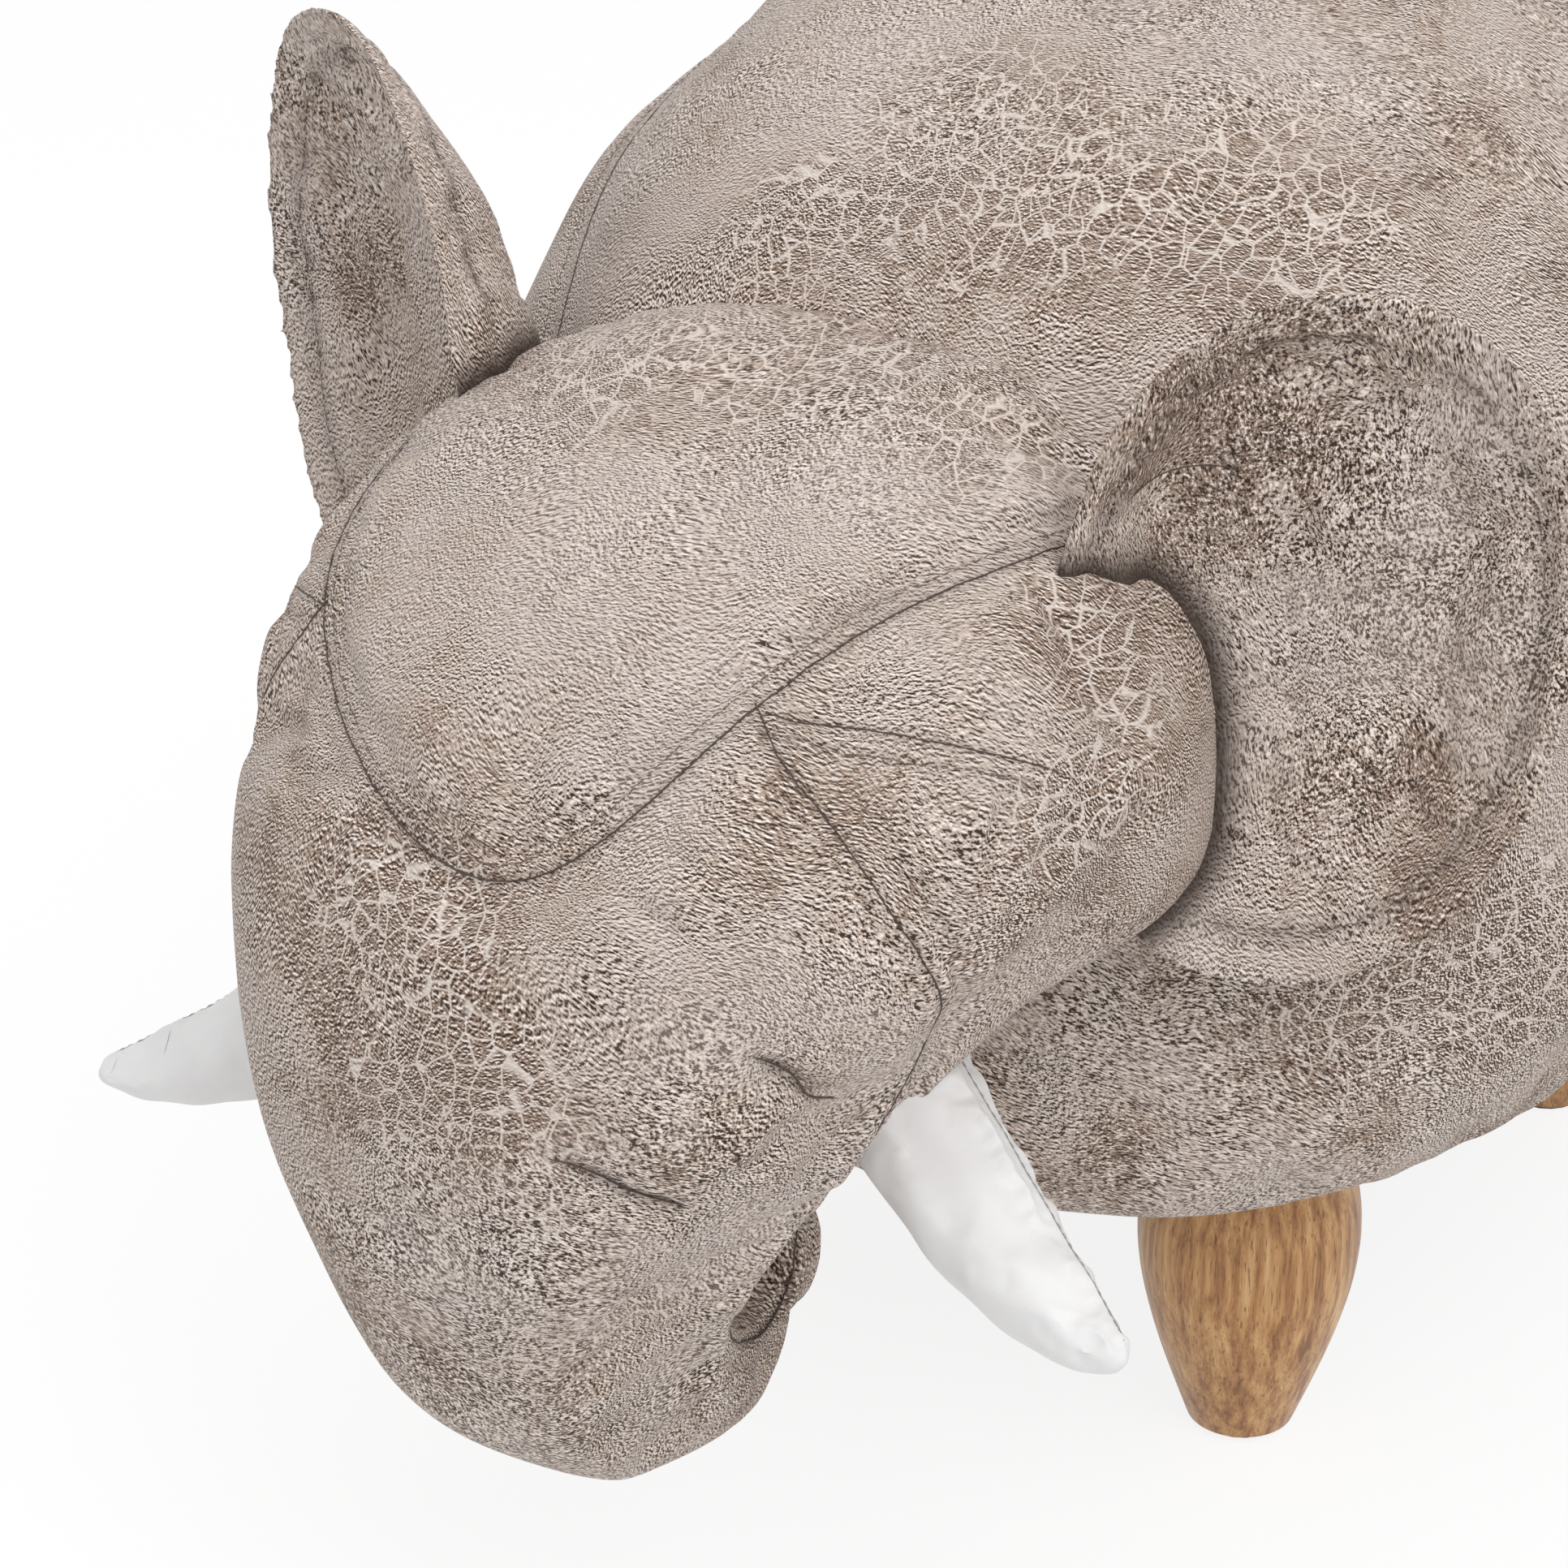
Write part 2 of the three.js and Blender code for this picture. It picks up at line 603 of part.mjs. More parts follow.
// The space that the neck block takes up, with the clearance around it.
function neckSpace() {
  const front = -BOX.halfLength - GAP - NECK.depth - GAP;
  const length = NECK.depth + 3 * GAP;
  const width = 2 * (NECK.halfWidth + GAP);
  return solidOf(
    blockGeometry(width, length, NECK.height + 2 * GAP, 0, front + length / 2, HEIGHTS.neck - GAP),
  );
}

function buildNeck() {
  const heights = neckBoltPlaces();
  addPiece("neck_block", cut(neckBlock(), ...heights.map(neckBoltHole)), "plywood");
  addPiece("upper_neck_bolt", neckBolt(heights[0]), "zinc");
  addPiece("lower_neck_bolt", neckBolt(heights[1]), "zinc");
}

// Padding of the body

// Everything rigid inside the body, grown by the clearance, as a cutter for the foam.
function carcassSpace() {
  const { halfWidth, halfLength, fullness, thickness } = BOARD;
  const outline = roundedOutline(halfWidth + GAP, halfLength + GAP, fullness);
  const floor = flatBoard(outline, HEIGHTS.base - OVERRUN, thickness + OVERRUN + GAP);
  const boxWidth = 2 * (BOX.halfWidth + GAP);
  const boxLength = 2 * (BOX.halfLength + GAP);
  const box = blockGeometry(boxWidth, boxLength, HEIGHTS.deck - HEIGHTS.base, 0, 0, HEIGHTS.base);
  const deckWidth = 2 * (BOX.halfWidth + BOX.deckOverhang + GAP);
  const deckLength = 2 * (BOX.halfLength + BOX.deckLip + GAP);
  const deck = blockGeometry(deckWidth, deckLength, BOX.board + 2 * GAP, 0, 0, HEIGHTS.deck - GAP);
  const nuts = legPlaces.map(({ x, y }) => {
    const height = BOARD.thickness + TNUT.flange + 2 * BOLT.above;
    const nut = uprightCylinder(TNUT.flangeRadius + COVER.bodyPlay, HEIGHTS.base, height, FACES.nutSpace);
    return solidOf(nut.translate(x, y, 0));
  });
  return nuts.reduce((all, nut) => all.add(nut), solidOf(floor).add(solidOf(box)).add(solidOf(deck)));
}

function buildBodyPadding() {
  const depth = COVER.thickness + COVER.bodyPlay;
  const whole = solidOf(bodyForm(depth, FACES.bodyFoam));
  const reach = 2 * BODY.halfLength;
  const above = solidOf(blockGeometry(reach, reach, reach, 0, 0, HEIGHTS.topOfDeck + GAP));
  const below = solidOf(blockGeometry(reach, reach, reach, 0, 0, HEIGHTS.topOfDeck - reach));
  addPiece("seat_foam", geometryOf(whole.intersect(above)), "foam");
  const sides = whole.intersect(below).subtract(carcassSpace()).subtract(neckSpace());
  addPiece("side_foam", geometryOf(sides), "foam");
}

// Cover of the body

// The hole in the underside of the cover, inside its hem, and clear of the legs' bolts.
function undersideOpening() {
  const { halfWidth, halfLength, fullness } = BOARD;
  const outline = roundedOutline(halfWidth - HEM.width, halfLength - HEM.width, fullness);
  const base = UNDERSIDE_HEIGHT - OVERRUN;
  const depth = COVER.thickness + OVERRUN + HEM.play;
  const bolts = legPlaces.map(({ x, y }) => {
    return solidOf(uprightCylinder(BOLT.radius + BOLT.holePlay, base, depth).translate(x, y, 0));
  });
  return bolts.reduce((all, bolt) => all.add(bolt), solidOf(flatBoard(outline, base, depth)));
}

// A length of the middle strip between two angles round the body.
function stripPanel(from, to, rows) {
  const edge = acrossAt(STRIP.halfWidth);
  const place = (u, v, depth) => bodyPoint(lerp(-edge, edge, u), lerp(from, to, v), depth);
  return sheetGeometry(drawnIn(place), FACES.strip, rows, 0, COVER.thickness);
}

function flankPanel(side) {
  const edge = acrossAt(STRIP.halfWidth + SEAM_GAP / 2);
  const place = (u, v, depth) => bodyPoint(side * lerp(edge, 90, v), 360 * u, depth);
  return sheetGeometry(place, ...FACES.flank, 0, COVER.thickness, true);
}

function buildBodyCover() {
  const opening = undersideOpening();
  const neck = neckSpace();
  const angles = STRIP_SEAM_ANGLES;
  addPiece("seat_panel", geometryOf(solidOf(stripPanel(angles.neck, angles.rump, FACES.seat))), "hide");
  addPiece("chest_panel", cut(stripPanel(angles.neck, -90, FACES.ends), opening, neck), "hide");
  addPiece("rump_panel", cut(stripPanel(angles.rump, 270, FACES.ends), opening), "hide");
  addPiece("left_flank", cut(flankPanel(1), opening), "hide");
  addPiece("right_flank", cut(flankPanel(-1), opening), "hide");
}

// Head and trunk

// Half angle of the crown panel, which narrows to a round tip low on the forehead.
const crownEdge = (share) => CROWN.angle * Math.max(0, 1 - (share / CROWN.tipShare) ** 2) ** CROWN.roundness;

// The seam from the corner of the crown back over the cheek.
function cheekEdge(share) {
  const back = Math.max(0, 1 - share / CHEEK.jointShare);
  return CHEEK.jointAngle + CHEEK.backAngle * back ** CHEEK.bend;
}

// The sideways swing of the head's seams, which follows the lean of the trunk.
function seamLean(share) {
  const way = (share - SEAM_LEAN.fromShare) / (CROWN.tipShare - SEAM_LEAN.fromShare);
  return way > 0 && way < 1 ? SEAM_LEAN.angle * Math.sin(Math.PI * way) : 0;
}

// Half angle of the trunk's front panel.
const trunkEdge = (share) => fromTable(TRUNK_SEAM_SHARES, share);

// Rows of a panel behind the corner of the crown, closer together towards it, where the seams bend most.
const behindCorner = (v) => CHEEK.jointShare * (1 - (1 - v) ** 2);

// Rows in front of the corner, down to the crown's tip, closer together towards the tip.
const beforeCorner = (v) => lerp(CROWN.tipShare, CHEEK.jointShare, (1 - v) ** CROWN.tipSpread);

// A panel's rows: so many shares of them behind the corner, and the rest in front, as the two ways say.
function rowShare(v, turn, behind, before) {
  return v <= turn ? behind(v / turn) : before((v - turn) / (1 - turn));
}

function headPanel(place, columns, rows, ...tools) {
  return cut(sheetGeometry(drawnIn(place), columns, rows, 0, COVER.thickness), ...tools);
}

function crownPlace(u, v, depth) {
  const share = rowShare(v, PANEL_ROWS.turnShare, behindCorner, beforeCorner);
  return headPoint(share, seamLean(share) + lerp(-1, 1, u) * crownEdge(share), depth);
}

function upperCheekPlace(side) {
  return (u, v, depth) => {
    const share = behindCorner(v);
    return headPoint(share, seamLean(share) + side * lerp(crownEdge(share), cheekEdge(share), u), depth);
  };
}

// From the cheek seam, and in front of its corner from the trunk seam, down to the middle of the chin.
function lowerCheekPlace(side) {
  const middle = 180;
  const turn = PANEL_ROWS.turnShare;
  const toChin = (v) => lerp(CHEEK.jointShare, CHEEK.chinShare, v);
  return (u, v, depth) => {
    const share = rowShare(v, turn, behindCorner, toChin);
    const edge = v <= turn ? cheekEdge(share) : trunkEdge(share);
    return headPoint(share, lerp(seamLean(share) + side * edge, side * middle, u), depth);
  };
}

// The front of the trunk hangs from the crown's edge, meets the cheeks and runs to the curled tip.
function trunkPlace(u, v, depth) {
  const across = lerp(-1, 1, u);
  const start = beforeCorner(1 - Math.abs(across));
  const turn = PANEL_ROWS.trunkTurnShare;
  const share = rowShare(v, turn, (w) => lerp(start, CHEEK.chinShare, w), (w) => lerp(CHEEK.chinShare, 1, w));
  const startAcross = (Math.sign(across) * crownEdge(start)) / trunkEdge(start);
  const spread = lerp(startAcross, across, Math.min(1, v / turn));
  return headPoint(share, seamLean(share) + trunkEdge(share) * spread, depth);
}

function gussetPlace(u, v, depth) {
  const share = lerp(CHEEK.chinShare, 1, v);
  const edge = trunkEdge(share);
  return headPoint(share, lerp(edge, 360 - edge, u), depth);
}

function buildHead() {
  const bodySpace = solidOf(bodyForm(-FORM_GAP, FACES.bodyCutter));
  const depth = COVER.thickness + COVER.headPlay;
  const { share, gapShare } = TRUNK_SPLIT;
  const { behind, before, trunk } = PANEL_ROWS;
  const rows = behind + before;
  const skull = headForm(depth, FACES.headStuffing, 0, share - gapShare);
  addPiece("head_stuffing", cut(skull, bodySpace, neckSpace()), "stuffing");
  const trunkFill = headForm(depth, FACES.trunkStuffing, share + gapShare, 1);
  addPiece("trunk_stuffing", geometryOf(solidOf(trunkFill)), "stuffing");
  addPiece("crown_panel", headPanel(crownPlace, FACES.crown, rows, bodySpace), "hide");
  for (const [name, side] of [["left", 1], ["right", -1]]) {
    const upper = headPanel(upperCheekPlace(side), FACES.upperCheek, behind, bodySpace);
    const lower = headPanel(lowerCheekPlace(side), FACES.lowerCheek, rows, bodySpace);
    addPiece(name + "_upper_cheek", upper, "hide");
    addPiece(name + "_lower_cheek", lower, "hide");
  }
  addPiece("trunk_panel", headPanel(trunkPlace, 2 * before, before + trunk), "hide");
  addPiece("trunk_gusset", headPanel(gussetPlace, FACES.gusset, trunk), "hide");
}

// Ears

// A point of one ear, which is hollow in front: reach is 0 at its middle and 1 at its rim,
// round runs once round the rim and forward is the distance in front of the seam between its panels.
function earPoint(side, ear, reach, round, forward) {
  const a = 2 * Math.PI * round;
  const across = (reach * EAR.width * signedPower(Math.cos(a), EAR.fullness)) / 2;
  const along = (reach * EAR.height * signedPower(Math.sin(a), EAR.fullness)) / 2;
  const [turn, roll] = [degrees(ear.turn), degrees(ear.roll)];
  const out = ear.outward + across * Math.cos(roll) + along * Math.sin(roll);
  const up = ear.lift - EAR.lower - across * Math.sin(roll) + along * Math.cos(roll);
  const ahead = forward - ear.cup * (1 - reach ** 2);
  return new THREE.Vector3(
    side * (EAR.rootX + out * Math.cos(turn) + ahead * Math.sin(turn)),
    EAR.rootY + out * Math.sin(turn) - ahead * Math.cos(turn),
    EAR.rootHeight + up,
  );
}

// One padded panel of an ear, thin at the rim and full in the middle. facing is 1 in front and -1 behind,
// and thinning says how much thinner the padding is towards the top.
function earPanel(side, ear, padding, facing, thinning) {
  const place = (u, v, depth) => {
    const reach = 1 - v;
    const height = reach * signedPower(Math.sin(2 * Math.PI * u), EAR.fullness);
    const filling = padding * (1 - thinning * height) - EAR.rim;
    const thickness = EAR.rim + filling * (1 - reach ** EAR.flatness);
    return earPoint(side, ear, reach, u, facing * (GAP / 2 + depth * thickness));
  };
  return sheetGeometry(place, ...FACES.ear, 1, 0, true);
}

function buildEars() {
  const tools = [
    solidOf(headForm(-FORM_GAP, FACES.headCutter)),
    solidOf(bodyForm(-FORM_GAP, FACES.bodyCutter)),
  ];
  for (const [name, side, ear] of [["left", 1, LEFT_EAR], ["right", -1, RIGHT_EAR]]) {
    const front = earPanel(side, ear, EAR.frontPadding, 1, 0);
    const back = earPanel(side, ear, EAR.backPadding, -1, EAR.thinningShare);
    addPiece(name + "_ear_front", cut(front, ...tools), "hide");
    addPiece(name + "_ear_back", cut(back, ...tools), "hide");
  }
}

// Tusks

// A stuffed horn that curves outward and tapers to a blunt tip, cut where the head carries it.
function tuskGeometry(side, tusk) {
  const points = TUSK_PATH_SHARES.map(([out, forward, up], i) => {
    const way = i / (TUSK_PATH_SHARES.length - 1);
    return new THREE.Vector3(
      side * (TUSK.rootX + tusk.outward + out * TUSK.length + way * tusk.swing),
      TUSK.rootY - forward * TUSK.length,
      TUSK.rootHeight + tusk.raise + up * TUSK.length + way * tusk.lift,
    );
  });
  const path = new THREE.CubicBezierCurve3(...points);
  const tipStart = 1 - TUSK.tipRadius / TUSK.length;
  return loftGeometry((u, v) => {
    const share = v ** TUSK.crowding;
    const past = Math.max(0, (share - tipStart) / (1 - tipStart));
    const slimmed = 1 - TUSK.taper * share ** TUSK.slimming;
    const radius = TUSK.radius * slimmed * Math.sqrt(Math.max(0, 1 - past ** 2));
    const along = path.getTangent(share);
    const level = new THREE.Vector3(0, 0, 1).cross(along).normalize();
    const upward = along.clone().cross(level);
    const a = 2 * Math.PI * u;
    return path.getPoint(share)
      .addScaledVector(level, radius * Math.cos(a))
      .addScaledVector(upward, radius * Math.sin(a));
  }, ...FACES.tusk);
}

function buildTusks() {
  const head = solidOf(headForm(-FORM_GAP, FACES.headCutter));
  addPiece("left_tusk", cut(tuskGeometry(1, LEFT_TUSK), head), "tuskLeather");
  addPiece("right_tusk", cut(tuskGeometry(-1, RIGHT_TUSK), head), "tuskLeather");
}

// Tail

// The tail hangs down the rump from the seam of the seat panel and ends in a flat tuft.
function buildTail() {
  const top = bodyPoint(0, STRIP_SEAM_ANGLES.rump);
  const rear = BODY.halfLength + GAP + TAIL.radius;
  const fall = top.z - TAIL.length;
  const path = new THREE.CubicBezierCurve3(
    new THREE.Vector3(0, top.y, top.z),
    new THREE.Vector3(0, top.y + TAIL.bow, top.z - TAIL.radius),
    new THREE.Vector3(0, rear, top.z - TAIL.length / 2),
    new THREE.Vector3(0, rear, fall),
  );
  const tail = loftGeometry((u, v) => {
    const a = 2 * Math.PI * u;
    const radius = TAIL.radius * lerp(1, TAIL_SHARES.tip, v);
    const along = path.getTangent(v);
    const outward = new THREE.Vector3(1, 0, 0).cross(along).normalize();
    return path.getPoint(v)
      .addScaledVector(outward, radius * Math.sin(a))
      .add(new THREE.Vector3(radius * Math.cos(a), 0, 0));
  }, ...FACES.tail);
  const tuftTop = fall - GAP;
  const { tuftNeck, tuftStart, tuftRound, flatness } = TAIL_SHARES;
  const tuft = loftGeometry((u, v) => {
    const a = 2 * Math.PI * u;
    const arch = Math.sin(Math.PI * Math.min(1, lerp(tuftStart, 1, v))) ** tuftRound;
    const radius = TAIL.tuftRadius * (v === 1 ? 0 : lerp(tuftNeck, 1, arch));
    return new THREE.Vector3(
      radius * Math.cos(a),
      rear + flatness * radius * Math.sin(a),
      tuftTop - v * TAIL.tuftLength,
    );
  }, ...FACES.tuft);
  const body = solidOf(bodyForm(-FORM_GAP, FACES.bodyCutter));
  addPiece("tail", cut(tail, body), "hide");
  addPiece("tail_tuft", cut(tuft, body), "hide");
}

// Legs

// Half profile of the turned leg: it widens almost straight from the foot to a full belly, and its top
// is slightly drawn in.
function legProfile() {
  const { footRadius, bellyRadius, bellyHeight, topRadius, arris } = LEG;
  const foot = GLIDE.thickness + GAP;
  const top = HEIGHTS.legTop;
  const { out, up, belly } = LEG_CURVE_SHARES;
  const rising = new THREE.CubicBezierCurve(
    new THREE.Vector2(footRadius, foot + arris),
    new THREE.Vector2(lerp(footRadius, bellyRadius, out), lerp(foot, bellyHeight, up)),
    new THREE.Vector2(bellyRadius, lerp(foot, bellyHeight, belly)),
    new THREE.Vector2(bellyRadius, bellyHeight),
  );
  const closing = new THREE.QuadraticBezierCurve(
    new THREE.Vector2(bellyRadius, bellyHeight),
    new THREE.Vector2(bellyRadius, lerp(bellyHeight, top, LEG_CURVE_SHARES.top)),
    new THREE.Vector2(topRadius, top),
  );
  return [
    new THREE.Vector2(0, foot),
    new THREE.Vector2(footRadius - arris, foot),
    ...rising.getPoints(FACES.legRise),
    ...closing.getPoints(FACES.legTop).slice(1),
    new THREE.Vector2(0, top),
  ];
}

function buildLegs() {
  const turned = new THREE.LatheGeometry(legProfile(), FACES.leg).rotateX(Math.PI / 2);
  const boltBase = HEIGHTS.legTop - BOLT.sunk;
  const boltTop = HEIGHTS.base + BOARD.thickness + BOLT.above;
  const bore = solidOf(uprightCylinder(BOLT.radius + GAP, boltBase - GAP, BOLT.sunk + OVERRUN, FACES.bolt));
  const leg = cut(turned, bore);
  const bolt = uprightCylinder(BOLT.radius, boltBase, boltTop - boltBase, FACES.bolt);
  const glide = uprightCylinder(GLIDE.radius, 0, GLIDE.thickness, FACES.glide);
  for (const { name, x, y } of legPlaces) {
    const place = new THREE.Group();
    place.position.set(x, y, 0);
    addPiece(name + "_leg", leg, "legWood", place);
    addPiece(name + "_hanger_bolt", bolt, "zinc", place);
    addPiece(name + "_t_nut", tNut(), "zinc", place);
    addPiece(name + "_glide", glide, "felt", place);
    stool.add(place);
  }
}

// A T-nut: a flange on the base board and a barrel down into it.
function tNut() {
  const seat = HEIGHTS.base + BOARD.thickness + GAP;
  const flange = solidOf(uprightCylinder(TNUT.flangeRadius, seat, TNUT.flange));
  const foot = seat - TNUT.barrel;
  const barrel = solidOf(uprightCylinder(TNUT.barrelRadius, foot, TNUT.barrel + TNUT.flange / 2));
  const boreHeight = TNUT.barrel + TNUT.flange + 2 * OVERRUN;
  const bore = solidOf(uprightCylinder(BOLT.radius + GAP, foot - OVERRUN, boreHeight, FACES.bolt));
  return geometryOf(flange.add(barrel).subtract(bore));
}

function buildDustCover() {
  const { lap, thickness } = DUST_COVER;
  const inside = HEM.width - lap;
  const outline = roundedOutline(BOARD.halfWidth - inside, BOARD.halfLength - inside, BOARD.fullness);
  const holes = legPlaces.map(({ x, y }) => {
    const radius = BOLT.radius + BOLT.holePlay;
    return solidOf(uprightCylinder(radius, HEIGHTS.dustCover - OVERRUN, 2 * OVERRUN).translate(x, y, 0));
  });
  addPiece("dust_cover", cut(flatBoard(outline, HEIGHTS.dustCover, thickness), ...holes), "lining");
}

buildCarcass();
buildNeck();
buildBodyPadding();
buildBodyCover();
buildHead();
buildEars();
buildTusks();
buildTail();
buildLegs();
buildDustCover();

// The finished stool is moved so that the origin is under the middle of its bounding box.
const box = new THREE.Box3().setFromObject(stool, true);
const middle = box.getCenter(new THREE.Vector3());
stool.position.set(-middle.x, -middle.y, -box.min.z);

export default stool;
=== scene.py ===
"""Elephant footstool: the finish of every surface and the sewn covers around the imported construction.

The covers are stuffed faux leather. Each starts as a smooth form, is remeshed, blown up a little as
cloth, and then gets its seams, folds and stitches. Forms are written in millimetres, in the frame of
the stool's own middle, and meshes are made in metres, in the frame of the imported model.
"""

import json
import logging
import math
from collections.abc import Callable, Sequence
from dataclasses import dataclass, field
from enum import Enum

import bmesh
import bpy
import numpy as np
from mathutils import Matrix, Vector
from mathutils.bvhtree import BVHTree
from mathutils.kdtree import KDTree

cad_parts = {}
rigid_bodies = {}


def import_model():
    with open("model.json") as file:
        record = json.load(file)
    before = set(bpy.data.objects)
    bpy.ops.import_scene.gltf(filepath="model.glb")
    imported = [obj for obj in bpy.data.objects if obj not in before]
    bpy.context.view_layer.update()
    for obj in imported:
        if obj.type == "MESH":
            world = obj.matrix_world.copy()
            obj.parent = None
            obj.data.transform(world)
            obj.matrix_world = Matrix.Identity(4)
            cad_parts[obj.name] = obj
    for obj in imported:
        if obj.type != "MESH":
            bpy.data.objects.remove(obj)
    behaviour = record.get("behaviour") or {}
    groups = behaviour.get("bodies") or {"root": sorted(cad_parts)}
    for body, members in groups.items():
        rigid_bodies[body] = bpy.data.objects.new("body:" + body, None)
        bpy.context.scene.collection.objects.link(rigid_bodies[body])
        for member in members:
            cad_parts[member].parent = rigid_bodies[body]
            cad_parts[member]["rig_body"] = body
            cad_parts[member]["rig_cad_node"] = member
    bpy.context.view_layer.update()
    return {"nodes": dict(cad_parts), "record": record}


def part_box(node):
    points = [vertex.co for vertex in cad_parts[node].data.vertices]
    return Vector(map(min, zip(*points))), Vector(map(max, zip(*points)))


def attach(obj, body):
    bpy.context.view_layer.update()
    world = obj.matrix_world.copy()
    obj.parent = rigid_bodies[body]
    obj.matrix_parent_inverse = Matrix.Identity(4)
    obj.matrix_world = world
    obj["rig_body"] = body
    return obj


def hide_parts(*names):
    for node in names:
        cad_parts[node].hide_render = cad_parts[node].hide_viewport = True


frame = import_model()

LOG = logging.getLogger("footstool")
MM = 0.001

Array = np.ndarray
Socket = bpy.types.NodeSocket


# Arithmetic of the forms


def signed_power(value: Array, fullness: Array | float) -> Array:
    """A sine or cosine bent towards the corners of a rounded box.

    Args:
        value: Numbers from -1 to 1.
        fullness: 2 for an ellipse, more for a fuller section.

    Returns:
        The bent numbers, with their signs kept.
    """
    return np.sign(value) * np.abs(value) ** (2.0 / fullness)


def catmull_rom(rows: Array, share: Array) -> Array:
    """The smooth curve through the rows of a table.

    Args:
        rows: One row of numbers for each station.
        share: Places from 0 to 1 of the way along the table.

    Returns:
        One row for each place.
    """
    last = len(rows) - 1
    place = np.clip(share, 0.0, 1.0) * last
    i = np.minimum(place.astype(int), last - 1)
    f = (place - i)[..., None]
    padded = np.vstack([2 * rows[0] - rows[1], rows, 2 * rows[-1] - rows[-2]])
    a, b, c, d = (padded[i + k] for k in range(4))
    return 0.5 * (
        2 * b + (c - a) * f + (2 * a - 5 * b + 4 * c - d) * f**2 + (3 * b - a - 3 * c + d) * f**3
    )


def smooth_step(value: Array, low: float, high: float) -> Array:
    """A smooth rise from 0 at low to 1 at high."""
    t = np.clip((value - low) / (high - low), 0.0, 1.0)
    return t * t * (3.0 - 2.0 * t)


def resampled(points: Array, pitch: float) -> Array:
    """A polyline with points an even distance apart.

    Args:
        points: The corners of the line.
        pitch: About how far apart the new points are.

    Returns:
        The new points, with both ends kept.
    """
    steps = np.linalg.norm(np.diff(points, axis=0), axis=1)
    run = np.concatenate([[0.0], np.cumsum(steps)])
    count = max(2, int(round(run[-1] / pitch)) + 1)
    at = np.linspace(0.0, run[-1], count)
    return np.stack([np.interp(at, run, points[:, k]) for k in range(3)], axis=1)


def evened(points: Array, reach: int) -> Array:
    """A line with each point moved to the mean of its neighbours, its ends kept.

    Args:
        points: The line.
        reach: How many neighbours count on each side.

    Returns:
        The evened line.
    """
    padded = np.vstack([
        2 * points[0] - points[reach:0:-1], points, 2 * points[-1] - points[-2 : -reach - 2 : -1]
    ])
    kernel = np.hanning(2 * reach + 3)[1:-1]
    kernel /= kernel.sum()
    return np.stack([np.convolve(padded[:, k], kernel, mode="valid") for k in range(points.shape[1])], axis=1)


def smooth_line(corners: Sequence[Sequence[float]], steps: int = 12) -> Array:
    """A smooth curve through a few given rows.

    Args:
        corners: The rows that the curve passes through.
        steps: New rows for each stretch between two corners.

    Returns:
        The rows of the curve.
    """
    rows = np.array(corners, float)
    return catmull_rom(rows, np.linspace(0.0, 1.0, (len(rows) - 1) * steps + 1))


# Meshes


class Origin:
    """The place of the forms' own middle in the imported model's frame."""

    low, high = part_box("base_board")
    offset = np.array([(low.x + high.x) / 2, (low.y + high.y) / 2, 0.0])

    @classmethod
    def place(cls, points: Array) -> Array:
        """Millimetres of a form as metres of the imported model."""
        return points * MM + cls.offset


def new_object(name: str, points: Array, faces: Sequence[Sequence[int]]) -> bpy.types.Object:
    """A mesh object at the origin.

    Args:
        name: The piece's name.
        points: Its corners in metres.
        faces: The corners of each face.

    Returns:
        The object, linked to the scene.
    """
    mesh = bpy.data.meshes.new(name)
    mesh.from_pydata(points.tolist(), [], [list(face) for face in faces])
    mesh.update()
    made = bpy.data.objects.new(name, mesh)
    bpy.context.scene.collection.objects.link(made)
    return made


def lofted(name: str, rings: Array) -> bpy.types.Object:
    """A closed mesh through rings of points, with a fan over each end.

    Args:
        name: The piece's name.
        rings: Points as rings, columns and three coordinates, in millimetres.

    Returns:
        The object.
    """
    count, columns = rings.shape[:2]
    ends = [rings[0].mean(axis=0), rings[-1].mean(axis=0)]
    points = np.vstack([rings.reshape(-1, 3), ends])
    faces = []
    for j in range(count - 1):
        for i in range(columns):
            k = (i + 1) % columns
            faces.append((j * columns + i, j * columns + k, (j + 1) * columns + k, (j + 1) * columns + i))
    for i in range(columns):
        k = (i + 1) % columns
        faces.append((k, i, count * columns))
        faces.append(((count - 1) * columns + i, (count - 1) * columns + k, count * columns + 1))
    made = new_object(name, Origin.place(points), faces)
    face_outward(made)
    return made


def face_outward(piece: bpy.types.Object) -> None:
    """Turns the faces of a closed piece to point out of it.

    Args:
        piece: The piece, changed in place.
    """
    shape = bmesh.new()
    shape.from_mesh(piece.data)
    bmesh.ops.remove_doubles(shape, verts=shape.verts, dist=0.001 * MM)
    bmesh.ops.recalc_face_normals(shape, faces=shape.faces)
    shape.to_mesh(piece.data)
    shape.free()
    piece.data.update()


def activate(piece: bpy.types.Object) -> None:
    """Makes a piece the only selected one and the active one.

    Args:
        piece: The piece to select.
    """
    for other in bpy.context.selected_objects:
        other.select_set(False)
    piece.select_set(True)
    bpy.context.view_layer.objects.active = piece


def apply_modifier(piece: bpy.types.Object, kind: str, **settings: object) -> None:
    """Adds a modifier with its settings and applies it at once.

    Args:
        piece: The object to change.
        kind: The modifier's type.
        **settings: Its properties.
    """
    activate(piece)
    modifier = piece.modifiers.new(kind.lower(), kind)
    for key, value in settings.items():
        setattr(modifier, key, value)
    bpy.ops.object.modifier_apply(modifier=modifier.name)


def places_of(piece: bpy.types.Object) -> Array:
    """Reads the corners of a mesh.

    Args:
        piece: The piece whose mesh is read.

    Returns:
        Their places in metres, one row for each corner.
    """
    count = len(piece.data.vertices)
    flat = np.empty(count * 3, np.float32)
    piece.data.vertices.foreach_get("co", flat)
    return flat.reshape(-1, 3).astype(float)


